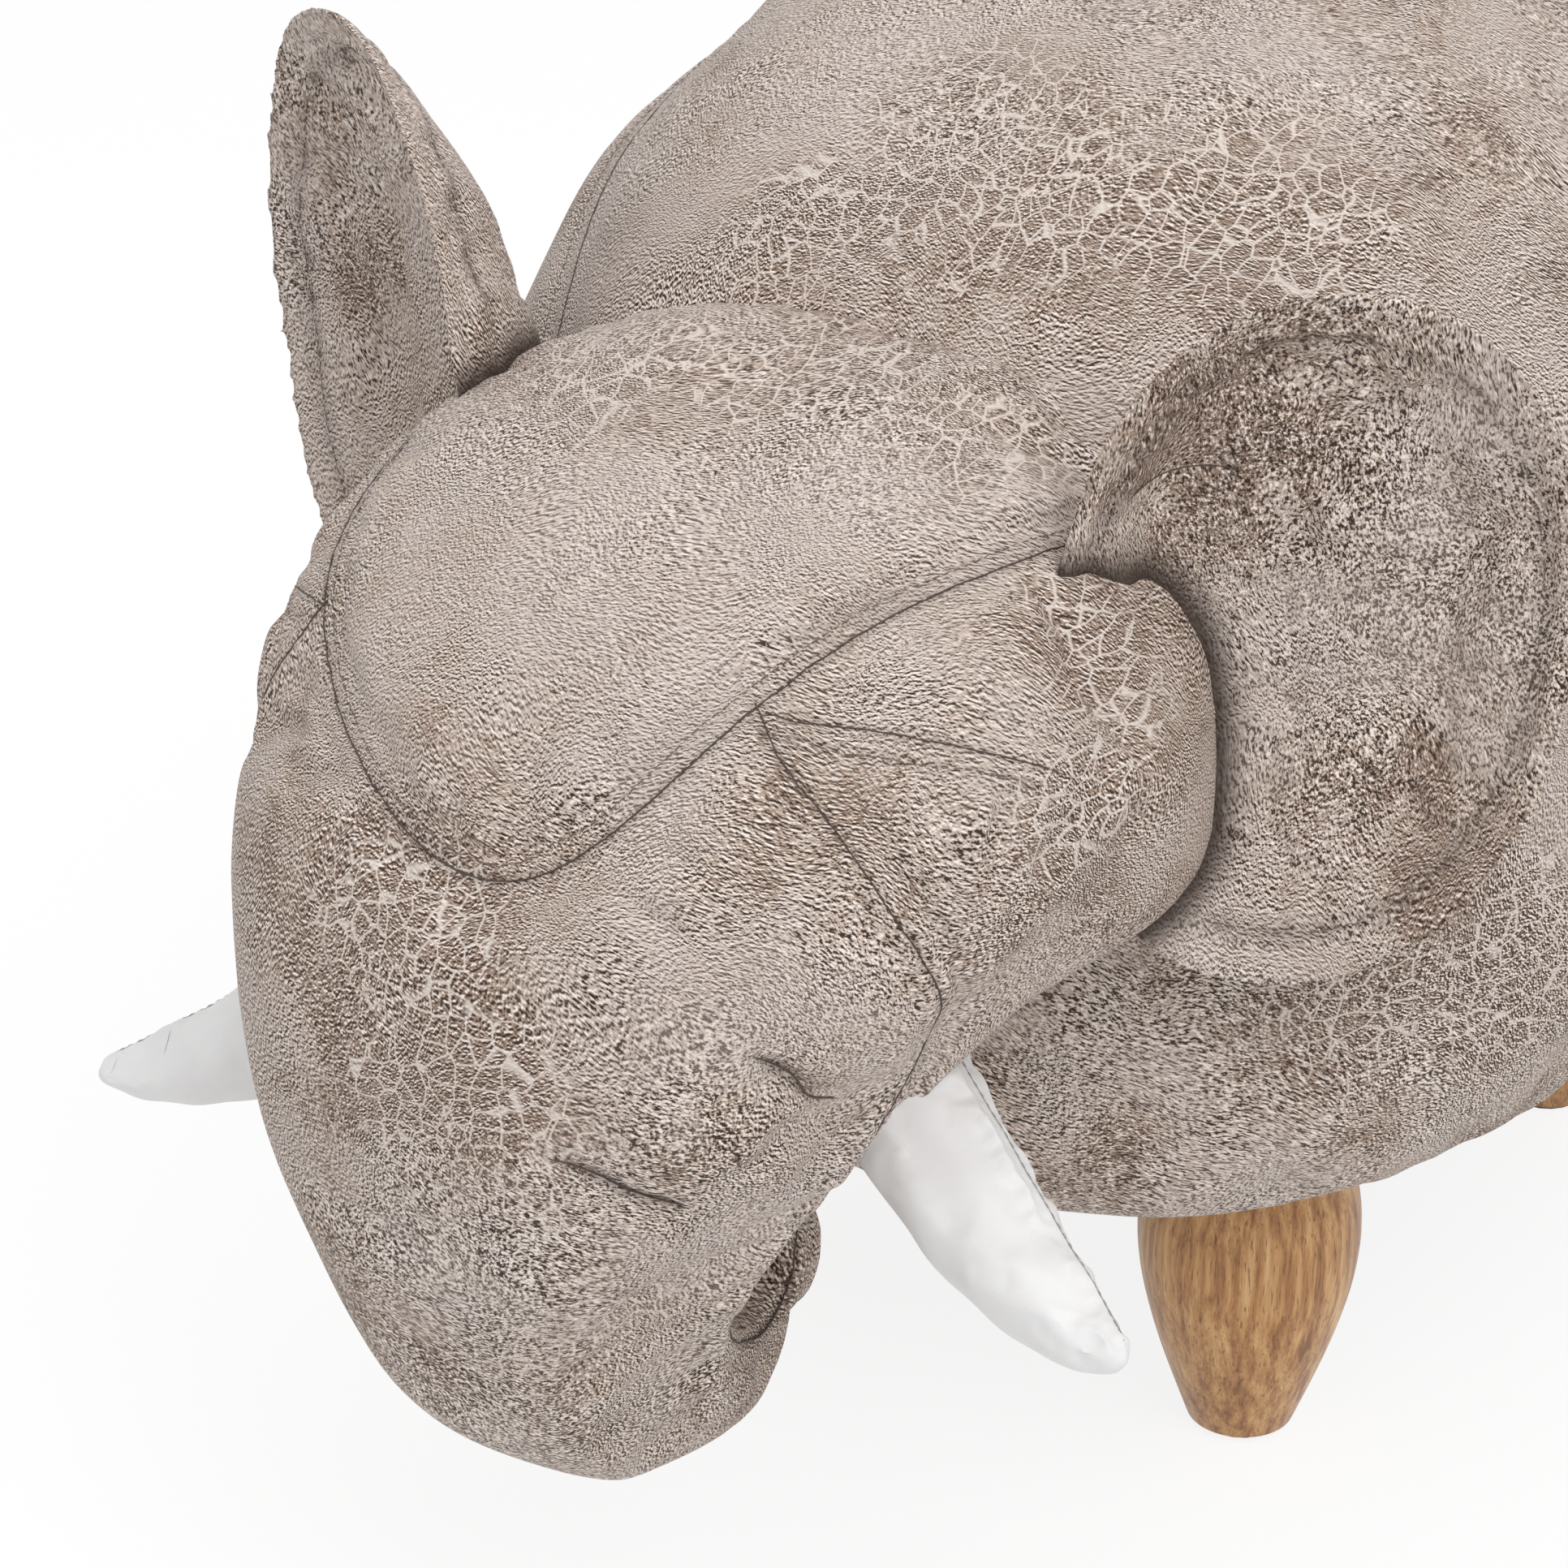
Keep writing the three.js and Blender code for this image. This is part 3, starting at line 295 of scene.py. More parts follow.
def normals_of(piece: bpy.types.Object) -> Array:
    """Reads the normals at the corners of a mesh.

    Args:
        piece: The piece whose mesh is read.

    Returns:
        The normals, one row for each corner.
    """
    count = len(piece.data.vertices)
    flat = np.empty(count * 3, np.float32)
    piece.data.vertex_normals.foreach_get("vector", flat)
    return flat.reshape(-1, 3).astype(float)


def set_places(piece: bpy.types.Object, places: Array) -> None:
    """Moves the corners of a mesh to new places in metres."""
    piece.data.vertices.foreach_set("co", places.astype(np.float32).ravel())
    piece.data.update()


def set_attribute(piece: bpy.types.Object, name: str, values: Array) -> None:
    """Stores one number for each corner of a mesh, for its material to read."""
    attribute = piece.data.attributes.get(name) or piece.data.attributes.new(name, "FLOAT", "POINT")
    attribute.data.foreach_set("value", values.astype(np.float32))


def keep_largest(piece: bpy.types.Object) -> None:
    """Deletes all loose parts of a mesh but the largest.

    Args:
        piece: The piece, changed in place.
    """
    shape = bmesh.new()
    shape.from_mesh(piece.data)
    left = set(shape.verts)
    parts = []
    while left:
        part = set()
        front = [left.pop()]
        while front:
            vertex = front.pop()
            part.add(vertex)
            for edge in vertex.link_edges:
                other = edge.other_vert(vertex)
                if other in left:
                    left.discard(other)
                    front.append(other)
        parts.append(part)
    parts.sort(key=len)
    for part in parts[:-1]:
        bmesh.ops.delete(shape, geom=list(part), context="VERTS")
    shape.to_mesh(piece.data)
    shape.free()


def shade_smooth(piece: bpy.types.Object) -> None:
    """Shades all faces of a piece smooth."""
    piece.data.polygons.foreach_set("use_smooth", [True] * len(piece.data.polygons))
    piece.data.update()


# Value noise for the unevenness of hand stuffing


@dataclass(frozen=True)
class Unevenness:
    """Soft hollows and swellings, the same in each run.

    Attributes:
        size: Width of one swelling in millimetres.
        height: How far it stands out, in millimetres.
        seed: Another number gives another set.
    """

    size: float
    height: float
    seed: int

    def at(self, places: Array) -> Array:
        """Height of the waves.

        Args:
            places: Places in metres.

        Returns:
            The height at each place, in metres.
        """
        rng = np.random.default_rng(self.seed)
        waves = 9
        directions = rng.normal(size=(waves, 3))
        directions /= np.linalg.norm(directions, axis=1)[:, None]
        lengths = self.size * MM * rng.uniform(0.8, 2.2, waves)
        phases = rng.uniform(0, 2 * math.pi, waves)
        total = np.zeros(len(places))
        for direction, length, phase in zip(directions, lengths, phases):
            total += np.sin(places @ direction * 2 * math.pi / length + phase)
        return total / math.sqrt(waves) * self.height * MM


# Sewn lines


class LineKind(Enum):
    """The ways in which a line marks a cover."""

    SEAM = "two panels sewn together"
    TOPSTITCH = "a row of stitches beside a seam"
    FOLD = "a fold or pleat without stitches"


@dataclass(frozen=True)
class Groove:
    """How deep and wide a line presses into the stuffing, in millimetres."""

    depth: float
    width: float
    valley: float
    valley_width: float


GROOVES = {
    LineKind.SEAM: Groove(depth=1.0, width=2.6, valley=1.3, valley_width=10.0),
    LineKind.TOPSTITCH: Groove(depth=0.55, width=2.2, valley=0.4, valley_width=6.0),
    LineKind.FOLD: Groove(depth=2.2, width=3.0, valley=2.8, valley_width=11.0),
}


@dataclass
class SewnLine:
    """A seam, a row of stitches or a fold on a cover.

    Attributes:
        kind: What the line is.
        corners: Its points in metres, on or near the cover.
        fades: Whether it fades out at its start and at its end.
        strength: A share of its usual depth.
        stitched: Whether stitches show on it.
    """

    kind: LineKind
    corners: Array
    fades: tuple[bool, bool] = (False, False)
    strength: float = 1.0
    stitched: bool = True

    def samples(self, pitch: float) -> tuple[Array, Array]:
        """Points along the line and how strong it is at each.

        Args:
            pitch: Distance between two points in millimetres.

        Returns:
            The points in metres, and a share from 0 to 1 for each.
        """
        points = resampled(self.corners, pitch * MM)
        way = np.linspace(0.0, 1.0, len(points))
        share = np.full(len(points), self.strength)
        fading = 0.35
        if self.fades[0]:
            share *= smooth_step(way, 0.0, fading)
        if self.fades[1]:
            share *= smooth_step(1.0 - way, 0.0, fading)
        return points, share


class Surface:
    """The finished skin of a cover, to lay lines on."""

    def __init__(self, piece: bpy.types.Object) -> None:
        """Reads the mesh of a piece.

        Args:
            piece: The cover whose skin takes the lines.
        """
        mesh = piece.data
        self.tree = BVHTree.FromPolygons(
            [v.co for v in mesh.vertices], [tuple(p.vertices) for p in mesh.polygons]
        )

    def nearest(self, points: Array) -> tuple[Array, Array]:
        """The nearest points of the skin and the normals there."""
        found = [self.tree.find_nearest(Vector(p)) for p in points]
        return np.array([f[0] for f in found]), np.array([f[1] for f in found])


@dataclass
class Sewing:
    """Presses sewn lines into a cover and lays thread on it.

    Attributes:
        name: The name of the piece of thread.
        lines: The lines of the cover.
        stitch: Length of a stitch, its pitch and its thickness in millimetres.
        pucker: Height of the small waves beside a line, in millimetres.
    """

    name: str
    lines: list[SewnLine]
    stitch: tuple[float, float, float] = (2.1, 2.9, 0.26)
    pucker: float = 0.11

    def press(self, cover: bpy.types.Object, reach: float = 40.0) -> None:
        """Sinks each line into the cover and stores the distance to the nearest line.

        Args:
            cover: The cover, at its final resolution.
            reach: Distances are stored up to this many millimetres.
        """
        places = places_of(cover)
        normals = normals_of(cover)
        sunk = np.zeros(len(places))
        nearest = np.full(len(places), reach)
        pucker = np.zeros(len(places))
        for number, line in enumerate(self.lines):
            points, share = line.samples(1.0)
            tree = KDTree(len(points))
            for i, point in enumerate(points):
                tree.insert(point, i)
            tree.balance()
            groove = GROOVES[line.kind]
            low = points.min(axis=0) - reach * MM
            high = points.max(axis=0) + reach * MM
            near = np.flatnonzero(np.all((places > low) & (places < high), axis=1))
            for v in near:
                _, i, gap = tree.find(places[v])
                gap /= MM
                if gap > reach:
                    continue
                nearest[v] = min(nearest[v], gap / max(share[i], 0.05))
                narrow = groove.depth * math.exp(-((gap / groove.width) ** 2))
                wide = groove.valley * math.exp(-((gap / groove.valley_width) ** 2))
                sunk[v] = max(sunk[v], (narrow + wide) * share[i])
                wave = math.sin(i * 0.71 + 2.0 * math.sin(i * 0.13 + number))
                pucker[v] += share[i] * wave * math.exp(-((gap / 7.0) ** 2)) * min(1.0, gap / 2.0)
        set_places(cover, places - normals * (sunk - self.pucker * pucker)[:, None] * MM)
        set_attribute(cover, "seam_distance", nearest)

    def thread(self, cover: bpy.types.Object) -> bpy.types.Object:
        """Lays the stitches of all lines on the cover as one piece.

        Args:
            cover: The cover with its lines pressed in.

        Returns:
            The piece of thread.
        """
        surface = Surface(cover)
        points: list[Array] = []
        faces: list[tuple[int, ...]] = []
        length, pitch, thickness = self.stitch
        for line in self.lines:
            if line.kind is LineKind.FOLD or not line.stitched:
                continue
            ends, share = line.samples(pitch)
            spots, normals = surface.nearest(ends)
            spots = evened(spots, 2)
            size = thickness * (1.0 if line.kind is LineKind.SEAM else 0.8)
            for a, b, n, strong in zip(spots[:-1], spots[1:], normals[:-1], share[:-1]):
                if strong > 0.15:
                    self._add_stitch(points, faces, (a, b, n), length / pitch, size * MM)
        return new_object(self.name, np.array(points), faces)

    @staticmethod
    def _add_stitch(
        points: list[Array], faces: list[tuple[int, ...]], ends: tuple[Array, Array, Array],
        share: float, radius: float
    ) -> None:
        """Adds one stitch, a short bent capsule whose ends go down into the cover.

        Args:
            points: The corners so far.
            faces: The faces so far.
            ends: Where the stitch starts and ends, and the normal.
            share: How much of the pitch the stitch takes up.
            radius: Half of the thread's thickness in metres.
        """
        start, end, normal = ends
        along = (end - start) * share
        across = np.cross(normal, along)
        across /= max(np.linalg.norm(across), 1e-9)
        sides = 6
        first = len(points)
        stations = [
            (0.0, 0.45, -0.9), (0.14, 0.9, 0.05), (0.5, 1.0, 0.35), (0.86, 0.9, 0.05), (1.0, 0.45, -0.9)
        ]
        for way, wide, lift in stations:
            centre = start + along * way + normal * lift * radius
            for k in range(sides):
                a = 2 * math.pi * k / sides
                points.append(centre + (across * math.cos(a) + normal * math.sin(a)) * wide * radius)
        for j in range(len(stations) - 1):
            for k in range(sides):
                m = (k + 1) % sides
                faces.append(
                    (first + j * sides + k, first + j * sides + m,
                     first + (j + 1) * sides + m, first + (j + 1) * sides + k)
                )
        faces.append(tuple(first + k for k in reversed(range(sides))))
        faces.append(tuple(first + (len(stations) - 1) * sides + k for k in range(sides)))


@dataclass
class CreaseShade:
    """Painted shade deep in a seam or a fold: a thin dark tube in the cover where two panels or the sides of
    a fold meet.
    """

    name: str
    radius: float = 0.2

    def build(self, cover: bpy.types.Object, lines: Sequence[SewnLine]) -> bpy.types.Object:
        """Makes one dark tube of painted shade for each seam and fold.

        Args:
            cover: The cover with its lines pressed in.
            lines: The seams and folds to draw.

        Returns:
            The piece.
        """
        surface = Surface(cover)
        points: list[Array] = []
        faces: list[tuple[int, ...]] = []
        sides = 5
        for line in lines:
            radius = self.radius * (1.6 if line.kind is LineKind.FOLD else 1.0)
            spots, share = line.samples(1.0)
            spots, normals = surface.nearest(spots)
            smoothing = 12 if line.kind is LineKind.FOLD else 4
            spots = evened(spots, min(smoothing, len(spots) // 3)) + normals * 0.25 * self.radius * MM
            keep = share > 0.12
            spots, normals, share = spots[keep], normals[keep], share[keep]
            along = np.gradient(spots, axis=0)
            across = np.cross(normals, along)
            across /= np.maximum(np.linalg.norm(across, axis=1), 1e-9)[:, None]
            first = len(points)
            taper = np.clip(np.minimum(np.arange(len(spots)), np.arange(len(spots))[::-1]) / 3, 0.25, 1)
            for spot, side, normal, wide in zip(spots, across, normals, taper * share):
                for k in range(sides):
                    a = 2 * math.pi * k / sides
                    reach = radius * MM * min(1.0, wide)
                    points.append(spot + (side * math.cos(a) + normal * math.sin(a)) * reach)
            for j in range(len(spots) - 1):
                for k in range(sides):
                    m = (k + 1) % sides
                    faces.append(
                        (first + j * sides + k, first + j * sides + m,
                         first + (j + 1) * sides + m, first + (j + 1) * sides + k)
                    )
            faces.append(tuple(first + k for k in reversed(range(sides))))
            faces.append(tuple(first + (len(spots) - 1) * sides + k for k in range(sides)))
        return new_object(self.name, np.array(points), faces)


# Stuffed covers


@dataclass
class Stuffing:
    """How a cover is blown up over its filling.

    Attributes:
        voxel: Size of the remesh in millimetres.
        ease: How much smaller the cover starts, and how much it swells on average, in millimetres.
        cap: The furthest that the filling may push it, in millimetres.
        pressure: Pressure of the filling.
        growth: How much longer than its pattern the cover is, as a share.
        held: How near a seam the cover is held, in millimetres.
    """

    voxel: float
    ease: float
    cap: float
    pressure: float = 4.0
    growth: float = 0.015
    held: float = 3.5

    def fill(
        self,
        piece: bpy.types.Object,
        lines: Sequence[SewnLine],
        fixed: Callable[[Array], Array] | None = None,
    ) -> None:
        """Remeshes a form, blows it up as cloth and refines it.

        Args:
            piece: The closed form, changed in place.
            lines: Its sewn lines, which hold the cover back.
            fixed: Says for places in metres how firmly each is held, from 0 to 1.
        """
        apply_modifier(piece, "REMESH", mode="VOXEL", voxel_size=self.voxel * MM, adaptivity=0.0)
        keep_largest(piece)
        apply_modifier(piece, "SMOOTH", factor=0.5, iterations=3)
        places = places_of(piece)
        weights = self._held_near(places, lines)
        if fixed is not None:
            weights = np.maximum(weights, fixed(places))
        start = places - normals_of(piece) * (self.ease * (1 - 0.65 * weights))[:, None] * MM
        set_places(piece, start)
        self._inflate(piece, start, weights)
        apply_modifier(piece, "SMOOTH", factor=0.5, iterations=1)
        apply_modifier(piece, "SUBSURF", levels=1, render_levels=1)
        shade_smooth(piece)

    def _held_near(self, places: Array, lines: Sequence[SewnLine]) -> Array:
        """How firmly each place is held by the seams near it.

        Args:
            places: Places in metres.
            lines: The sewn lines.

        Returns:
            From 0, free, to 1, held.
        """
        weights = np.zeros(len(places))
        samples = [line.samples(2.0) for line in lines if line.kind is LineKind.SEAM]
        if not samples:
            return weights
        points = np.vstack([s[0] for s in samples])
        share = np.concatenate([s[1] for s in samples])
        tree = KDTree(len(points))
        for i, point in enumerate(points):
            tree.insert(point, i)
        tree.balance()
        for v, place in enumerate(places):
            _, i, gap = tree.find(place)
            if gap < 2 * self.held * MM:
                firm = min(1.0, 4 * share[i])
                weights[v] = firm * float(1 - smooth_step(np.array(gap / MM), self.held, 2 * self.held))
        return weights

    def _inflate(self, piece: bpy.types.Object, start: Array, weights: Array) -> None:
        """Runs the cloth simulation and keeps its result within the cap.

        Args:
            piece: The cover.
            start: Its places before the simulation.
            weights: How firmly each is held.
        """
        outward = normals_of(piece)
        group = piece.vertex_groups.new(name="sewn")
        for level in (1.0, 0.75, 0.5, 0.25):
            chosen = np.flatnonzero((weights > level - 0.125) & (weights <= level + 0.125))
            group.add(chosen.tolist(), level, "REPLACE")
        activate(piece)
        cloth = piece.modifiers.new("cloth", "CLOTH")
        settings = cloth.settings
        settings.quality = 4
        settings.mass = 0.4
        settings.tension_stiffness = 18
        settings.compression_stiffness = 18
        settings.shear_stiffness = 6
        settings.bending_stiffness = 0.6
        settings.use_pressure = True
        settings.uniform_pressure_force = self.pressure
        settings.shrink_min = -self.growth
        settings.vertex_group_mass = group.name
        settings.effector_weights.gravity = 0.0
        settings.time_scale = 1.0
        cloth.collision_settings.use_collision = False
        cloth.collision_settings.use_self_collision = False
        first, last = 1, 20
        cloth.point_cache.frame_start = first
        cloth.point_cache.frame_end = last
        scene = bpy.context.scene
        for number in range(first, last + 1):
            scene.frame_set(number)
        bpy.ops.object.modifier_apply(modifier=cloth.name)
        scene.frame_set(first)
        moved = places_of(piece) - start
        free = weights < 0.5
        swell = np.einsum("ij,ij->i", moved, outward)[free].mean()
        moved *= np.clip(self.ease * MM / max(swell, 1e-6), 0.2, 4.0)
        far = np.linalg.norm(moved, axis=1)
        limit = self.cap * MM
        scale = np.where(far > 0, limit * np.tanh(far / limit) / np.maximum(far, 1e-9), 0.0)
        set_places(piece, start + moved * scale[:, None])
        piece.vertex_groups.clear()
        LOG.info("%s swelled by %.1f mm before it was evened", piece.name, swell / MM)


# Colours and nodes


def srgb(code: str) -> tuple[float, float, float, float]:
    """A hex colour as the linear colour that a shader takes.

    Args:
        code: Six hex digits after a hash.

    Returns:
        Red, green, blue and alpha.
    """
    parts = [int(code[i : i + 2], 16) / 255 for i in (1, 3, 5)]
    linear = [p / 12.92 if p <= 0.04045 else ((p + 0.055) / 1.055) ** 2.4 for p in parts]
    return (linear[0], linear[1], linear[2], 1.0)


def fill_ramp(ramp: bpy.types.ColorRamp, stops: Sequence[tuple[float, str]]) -> None:
    """Gives a colour ramp its places and colours.

    Args:
        ramp: The ramp of a node, changed in place.
        stops: Each place along the ramp with its hex colour.
    """
    while len(ramp.elements) < len(stops):
        ramp.elements.new(1.0)
    for element, (place, code) in zip(ramp.elements, stops):
        element.position = place
        element.color = srgb(code)


def add_node(
    tree: bpy.types.NodeTree,
    kind: str,
    settings: dict[str | int, object] | None = None,
    links: dict[str | int, Socket] | None = None,
) -> bpy.types.Node:
    """Adds a node with its settings and links.

    Args:
        tree: The node tree.
        kind: The node's type.
        settings: Properties by name, values of inputs by name or number, or the stops of a colour ramp.
        links: The sockets that feed its inputs, by name or number.

    Returns:
        The node.
    """
    node = tree.nodes.new(kind)
    for key, value in (settings or {}).items():
        if key == "stops":
            fill_ramp(node.color_ramp, value)
        elif isinstance(key, str) and hasattr(node, key):
            setattr(node, key, value)
        else:
            node.inputs[key].default_value = value
    for key, socket in (links or {}).items():
        tree.links.new(socket, node.inputs[key])
    return node


def new_material(name: str) -> tuple[bpy.types.Material, bpy.types.Node]:
    """An empty material with its surface shader.

    Args:
        name: The real stuff that the material stands for.

    Returns:
        The material and its Principled shader.
    """
    material = bpy.data.materials.new(name)
    material.use_nodes = True
    tree = material.node_tree
    tree.nodes.clear()
    shader = add_node(tree, "ShaderNodeBsdfPrincipled")
    add_node(tree, "ShaderNodeOutputMaterial", links={"Surface": shader.outputs["BSDF"]})
    return material, shader


def millimetres(tree: bpy.types.NodeTree, shift: tuple[float, float, float] = (0, 0, 0)) -> Socket:
    """The piece's own coordinates in millimetres.

    Args:
        tree: The material's node tree.
        shift: Moves them, so that two pieces of one finish differ.

    Returns:
        The coordinates.
    """
    place = add_node(tree, "ShaderNodeTexCoord")
    scale = (1.0 / MM, 1.0 / MM, 1.0 / MM)
    return add_node(
        tree, "ShaderNodeMapping", {"Location": shift, "Scale": scale}, {"Vector": place.outputs["Object"]}
    ).outputs["Vector"]


def unsettled(tree: bpy.types.NodeTree, place: Socket, size: float, reach: float) -> Socket:
    """Coordinates pushed about by a soft noise, so that no line made from them is straight.

    Args:
        tree: The material's node tree.
        place: The coordinates in millimetres.
        size: Width of one push in millimetres.
        reach: How far it pushes, in millimetres.

    Returns:
        The new coordinates.
    """
    push = add_node(tree, "ShaderNodeTexNoise", {"Scale": 1.0 / size, "Detail": 1.0}, {"Vector": place})
    centred = add_node(
        tree, "ShaderNodeVectorMath", {"operation": "SUBTRACT", 1: (0.5, 0.5, 0.5)},
        {0: push.outputs["Color"]},
    )
    return add_node(
        tree,
        "ShaderNodeVectorMath",
        {"operation": "MULTIPLY_ADD", 1: (2 * reach, 2 * reach, 2 * reach)},
        {0: centred.outputs["Vector"], 2: place},
    ).outputs["Vector"]


def dress(piece: bpy.types.Object, material: bpy.types.Material) -> None:
    """Gives a piece one material."""
    piece.data.materials.clear()
    piece.data.materials.append(material)


class Finish:
    """A finish that builds its material once."""

    _made: dict["Finish", bpy.types.Material] = {}

    def material(self) -> bpy.types.Material:
        """The finish's material, built the first time that it is asked for.

        Returns:
            The material, the same one for every piece with this finish.
        """
        if self not in Finish._made:
            Finish._made[self] = self.build()
        return Finish._made[self]

    def build(self) -> bpy.types.Material:
        """Builds the material."""
        raise NotImplementedError


@dataclass(frozen=True)
class Hide(Finish):
    """Distressed pebble-grain faux leather: polyurethane with a rubbed print on a knitted back.

    A pale film lies over a brown ground. It is rubbed away in ragged patches and cracked into a pale
    net in others, and fine pebbles run over all of it, drawn out into wavy wrinkles where the cover is
    stretched. Each pebble has painted shade on its lower side and a painted highlight on its upper side,
    and painted shade darkens the seams and where another cover lies against it.

    Attributes:
        name: The material's name.
        shift: Moves the pattern, in millimetres, so that two pieces differ.
        flow: The direction in which the grain is drawn out: its tilt below the level and its turn
            about the vertical, in degrees.
        tones: The rubbed print from its brown ground to its pale film.
        net: The pale cracks.
        painted_shade: The painted shade on the lower side of each pebble, in the seams and where another
            cover lies against it.
        painted_highlight: The painted highlight on the upper side of each pebble.
        pebble: Width of a pebble in millimetres.
        wrinkle: Width of a wrinkle in millimetres.
        cell: Width of a cell of the net in millimetres.
        patch: Width of a patch of the print in millimetres.
        above: The way from a pebble's painted shade to its painted highlight, in millimetres.
    """

    name: str
    shift: tuple[float, float, float] = (0.0, 0.0, 0.0)
    flow: tuple[float, float] = (22.0, 32.0)
    tones: tuple[tuple[float, str], ...] = (
        (0.405, "#927b6b"), (0.44, "#ad9888"), (0.465, "#bcaa9d"), (0.58, "#c7b8af"),
    )
    net: str = "#e6dad1"
    # Painted shade: the lower side of each pebble, the seams and where another cover lies against it.
    painted_shade: str = "#33251d"
    # Painted highlight on the upper side of each pebble.
    painted_highlight: str = "#f9eee6"
    pebble: float = 0.68
    wrinkle: float = 0.74
    cell: float = 5.4
    patch: float = 62.0
    above: tuple[float, float, float] = (-0.08, 0.22, 0.26)

    def build(self) -> bpy.types.Material:
        """Builds the hide's material from its print, its cracks and its grain, with painted shade and
        highlights on the grain and painted shade in the seams.

        Returns:
            The material.
        """
        material, shader = new_material(self.name)
        tree = material.node_tree
        place = millimetres(tree, self.shift)
        pale, colour = self._rubbed_print(tree, place)
        cracked, cracks = self._pale_net(tree, place)
        colour = add_node(
            tree, "ShaderNodeMix", {"data_type": "RGBA", 7: srgb(self.tones[0][1])}, {0: cracked, 6: colour}
        ).outputs[2]
        # Painted highlight on the upper side and painted shade on the lower side of each pebble, as strong as
        # depth says.
        lower, upper, height = self._pebbles(tree, place)
        depth = self._painted_relief_strength(tree, place, pale)
        for side, tone in ((upper, self.painted_highlight), (lower, self.painted_shade)):
            share = add_node(tree, "ShaderNodeMath", {"operation": "MULTIPLY"}, {0: side, 1: depth})
            colour = add_node(
                tree, "ShaderNodeMix", {"data_type": "RGBA", 7: srgb(tone)}, {0: share.outputs[0], 6: colour}
            ).outputs[2]
        colour = add_node(
            tree, "ShaderNodeMix", {"data_type": "RGBA", 7: srgb(self.net)}, {0: cracks, 6: colour}
        ).outputs[2]
        # Painted shade in the seams and where another cover lies against this one.
        tree.links.new(self._painted_seam_and_contact_shade(tree, colour), shader.inputs["Base Color"])
        normal = add_node(tree, "ShaderNodeBump", {"Distance": 0.9 * MM, "Strength": 0.7}, {"Height": height})
        tree.links.new(normal.outputs["Normal"], shader.inputs["Normal"])
        dull = add_node(
            tree, "ShaderNodeMapRange", {"From Min": 0.4, "From Max": 0.62, "To Min": 0.72, "To Max": 0.48},
            {"Value": height},
        )
        tree.links.new(dull.outputs["Result"], shader.inputs["Roughness"])
        shader.inputs["Specular IOR Level"].default_value = 0.4
        return material

    def _rubbed_print(self, tree: bpy.types.NodeTree, place: Socket) -> tuple[Socket, Socket]:
        """The print's tones, from the brown ground to the pale film.

        Args:
            tree: The material's node tree.
            place: The coordinates in millimetres.

        Returns:
            How pale the print is, and its colour.
        """
        streaked = add_node(
            tree, "ShaderNodeMapping", {"Scale": (1.0, 0.6, 0.8)},
            {"Vector": unsettled(tree, place, 30.0, 7.0)},
        )
        ragged = add_node(
            tree, "ShaderNodeTexNoise", {"Scale": 1.0 / self.patch, "Detail": 12.0, "Roughness": 0.78},
            {"Vector": streaked.outputs["Vector"]},
        )
        film = add_node(tree, "ShaderNodeAttribute", {"attribute_name": "film"})
        paler = add_node(
            tree, "ShaderNodeMath", {"operation": "MULTIPLY_ADD", 1: 0.07},
            {0: film.outputs["Fac"], 2: ragged.outputs["Fac"]},
        )
        for name in ("net", "worn"):
            rubbed = add_node(tree, "ShaderNodeAttribute", {"attribute_name": name})
            paler = add_node(
                tree, "ShaderNodeMath", {"operation": "MULTIPLY_ADD", 1: -0.06},
                {0: rubbed.outputs["Fac"], 2: paler.outputs[0]},
            )
        colour = add_node(
            tree, "ShaderNodeValToRGB", {"stops": self.tones}, {"Fac": paler.outputs[0]}
        )
        return paler.outputs[0], colour.outputs["Color"]

    def _pale_net(self, tree: bpy.types.NodeTree, place: Socket) -> tuple[Socket, Socket]:
        """Where the print is cracked into browner cells, and the pale cracks between them.

        Args:
            tree: The material's node tree.
            place: The coordinates in millimetres.

        Returns:
            How brown the cells are, and the cracks, both from 0 to 1.
        """
        where = add_node(tree, "ShaderNodeAttribute", {"attribute_name": "net"})
        edge = add_node(
            tree, "ShaderNodeTexNoise", {"Scale": 1.0 / 22.0, "Detail": 9.0, "Roughness": 0.74},
            {"Vector": place},
        )
        zone = add_node(
            tree, "ShaderNodeMath", {"operation": "MULTIPLY_ADD", 1: 0.26},
            {0: where.outputs["Fac"], 2: edge.outputs["Fac"]},
        )
        zone = add_node(
            tree, "ShaderNodeMapRange", {"From Min": 0.58, "From Max": 0.7}, {"Value": zone.outputs[0]}
        )
        browner = add_node(
            tree, "ShaderNodeMath", {"operation": "MULTIPLY", 1: 0.55}, {0: zone.outputs["Result"]}
        )
        along = add_node(
            tree, "ShaderNodeMapping", {"Scale": (1.0, 0.55, 1.0)},
            {"Vector": unsettled(tree, place, 19.0, 5.0)},
        )
        cells = add_node(
            tree, "ShaderNodeTexVoronoi",
            {"feature": "DISTANCE_TO_EDGE", "Scale": 1.0 / self.cell, "Randomness": 0.8},
            {"Vector": along.outputs["Vector"]},
        )
        cracks = add_node(
            tree, "ShaderNodeMapRange", {"From Min": 0.01, "From Max": 0.065, "To Min": 0.85, "To Max": 0.0},
            {"Value": cells.outputs["Distance"]},
        )
        line = add_node(
            tree, "ShaderNodeMath", {"operation": "MULTIPLY"},
            {0: cracks.outputs["Result"], 1: zone.outputs["Result"]},
        )
        return browner.outputs[0], line.outputs[0]

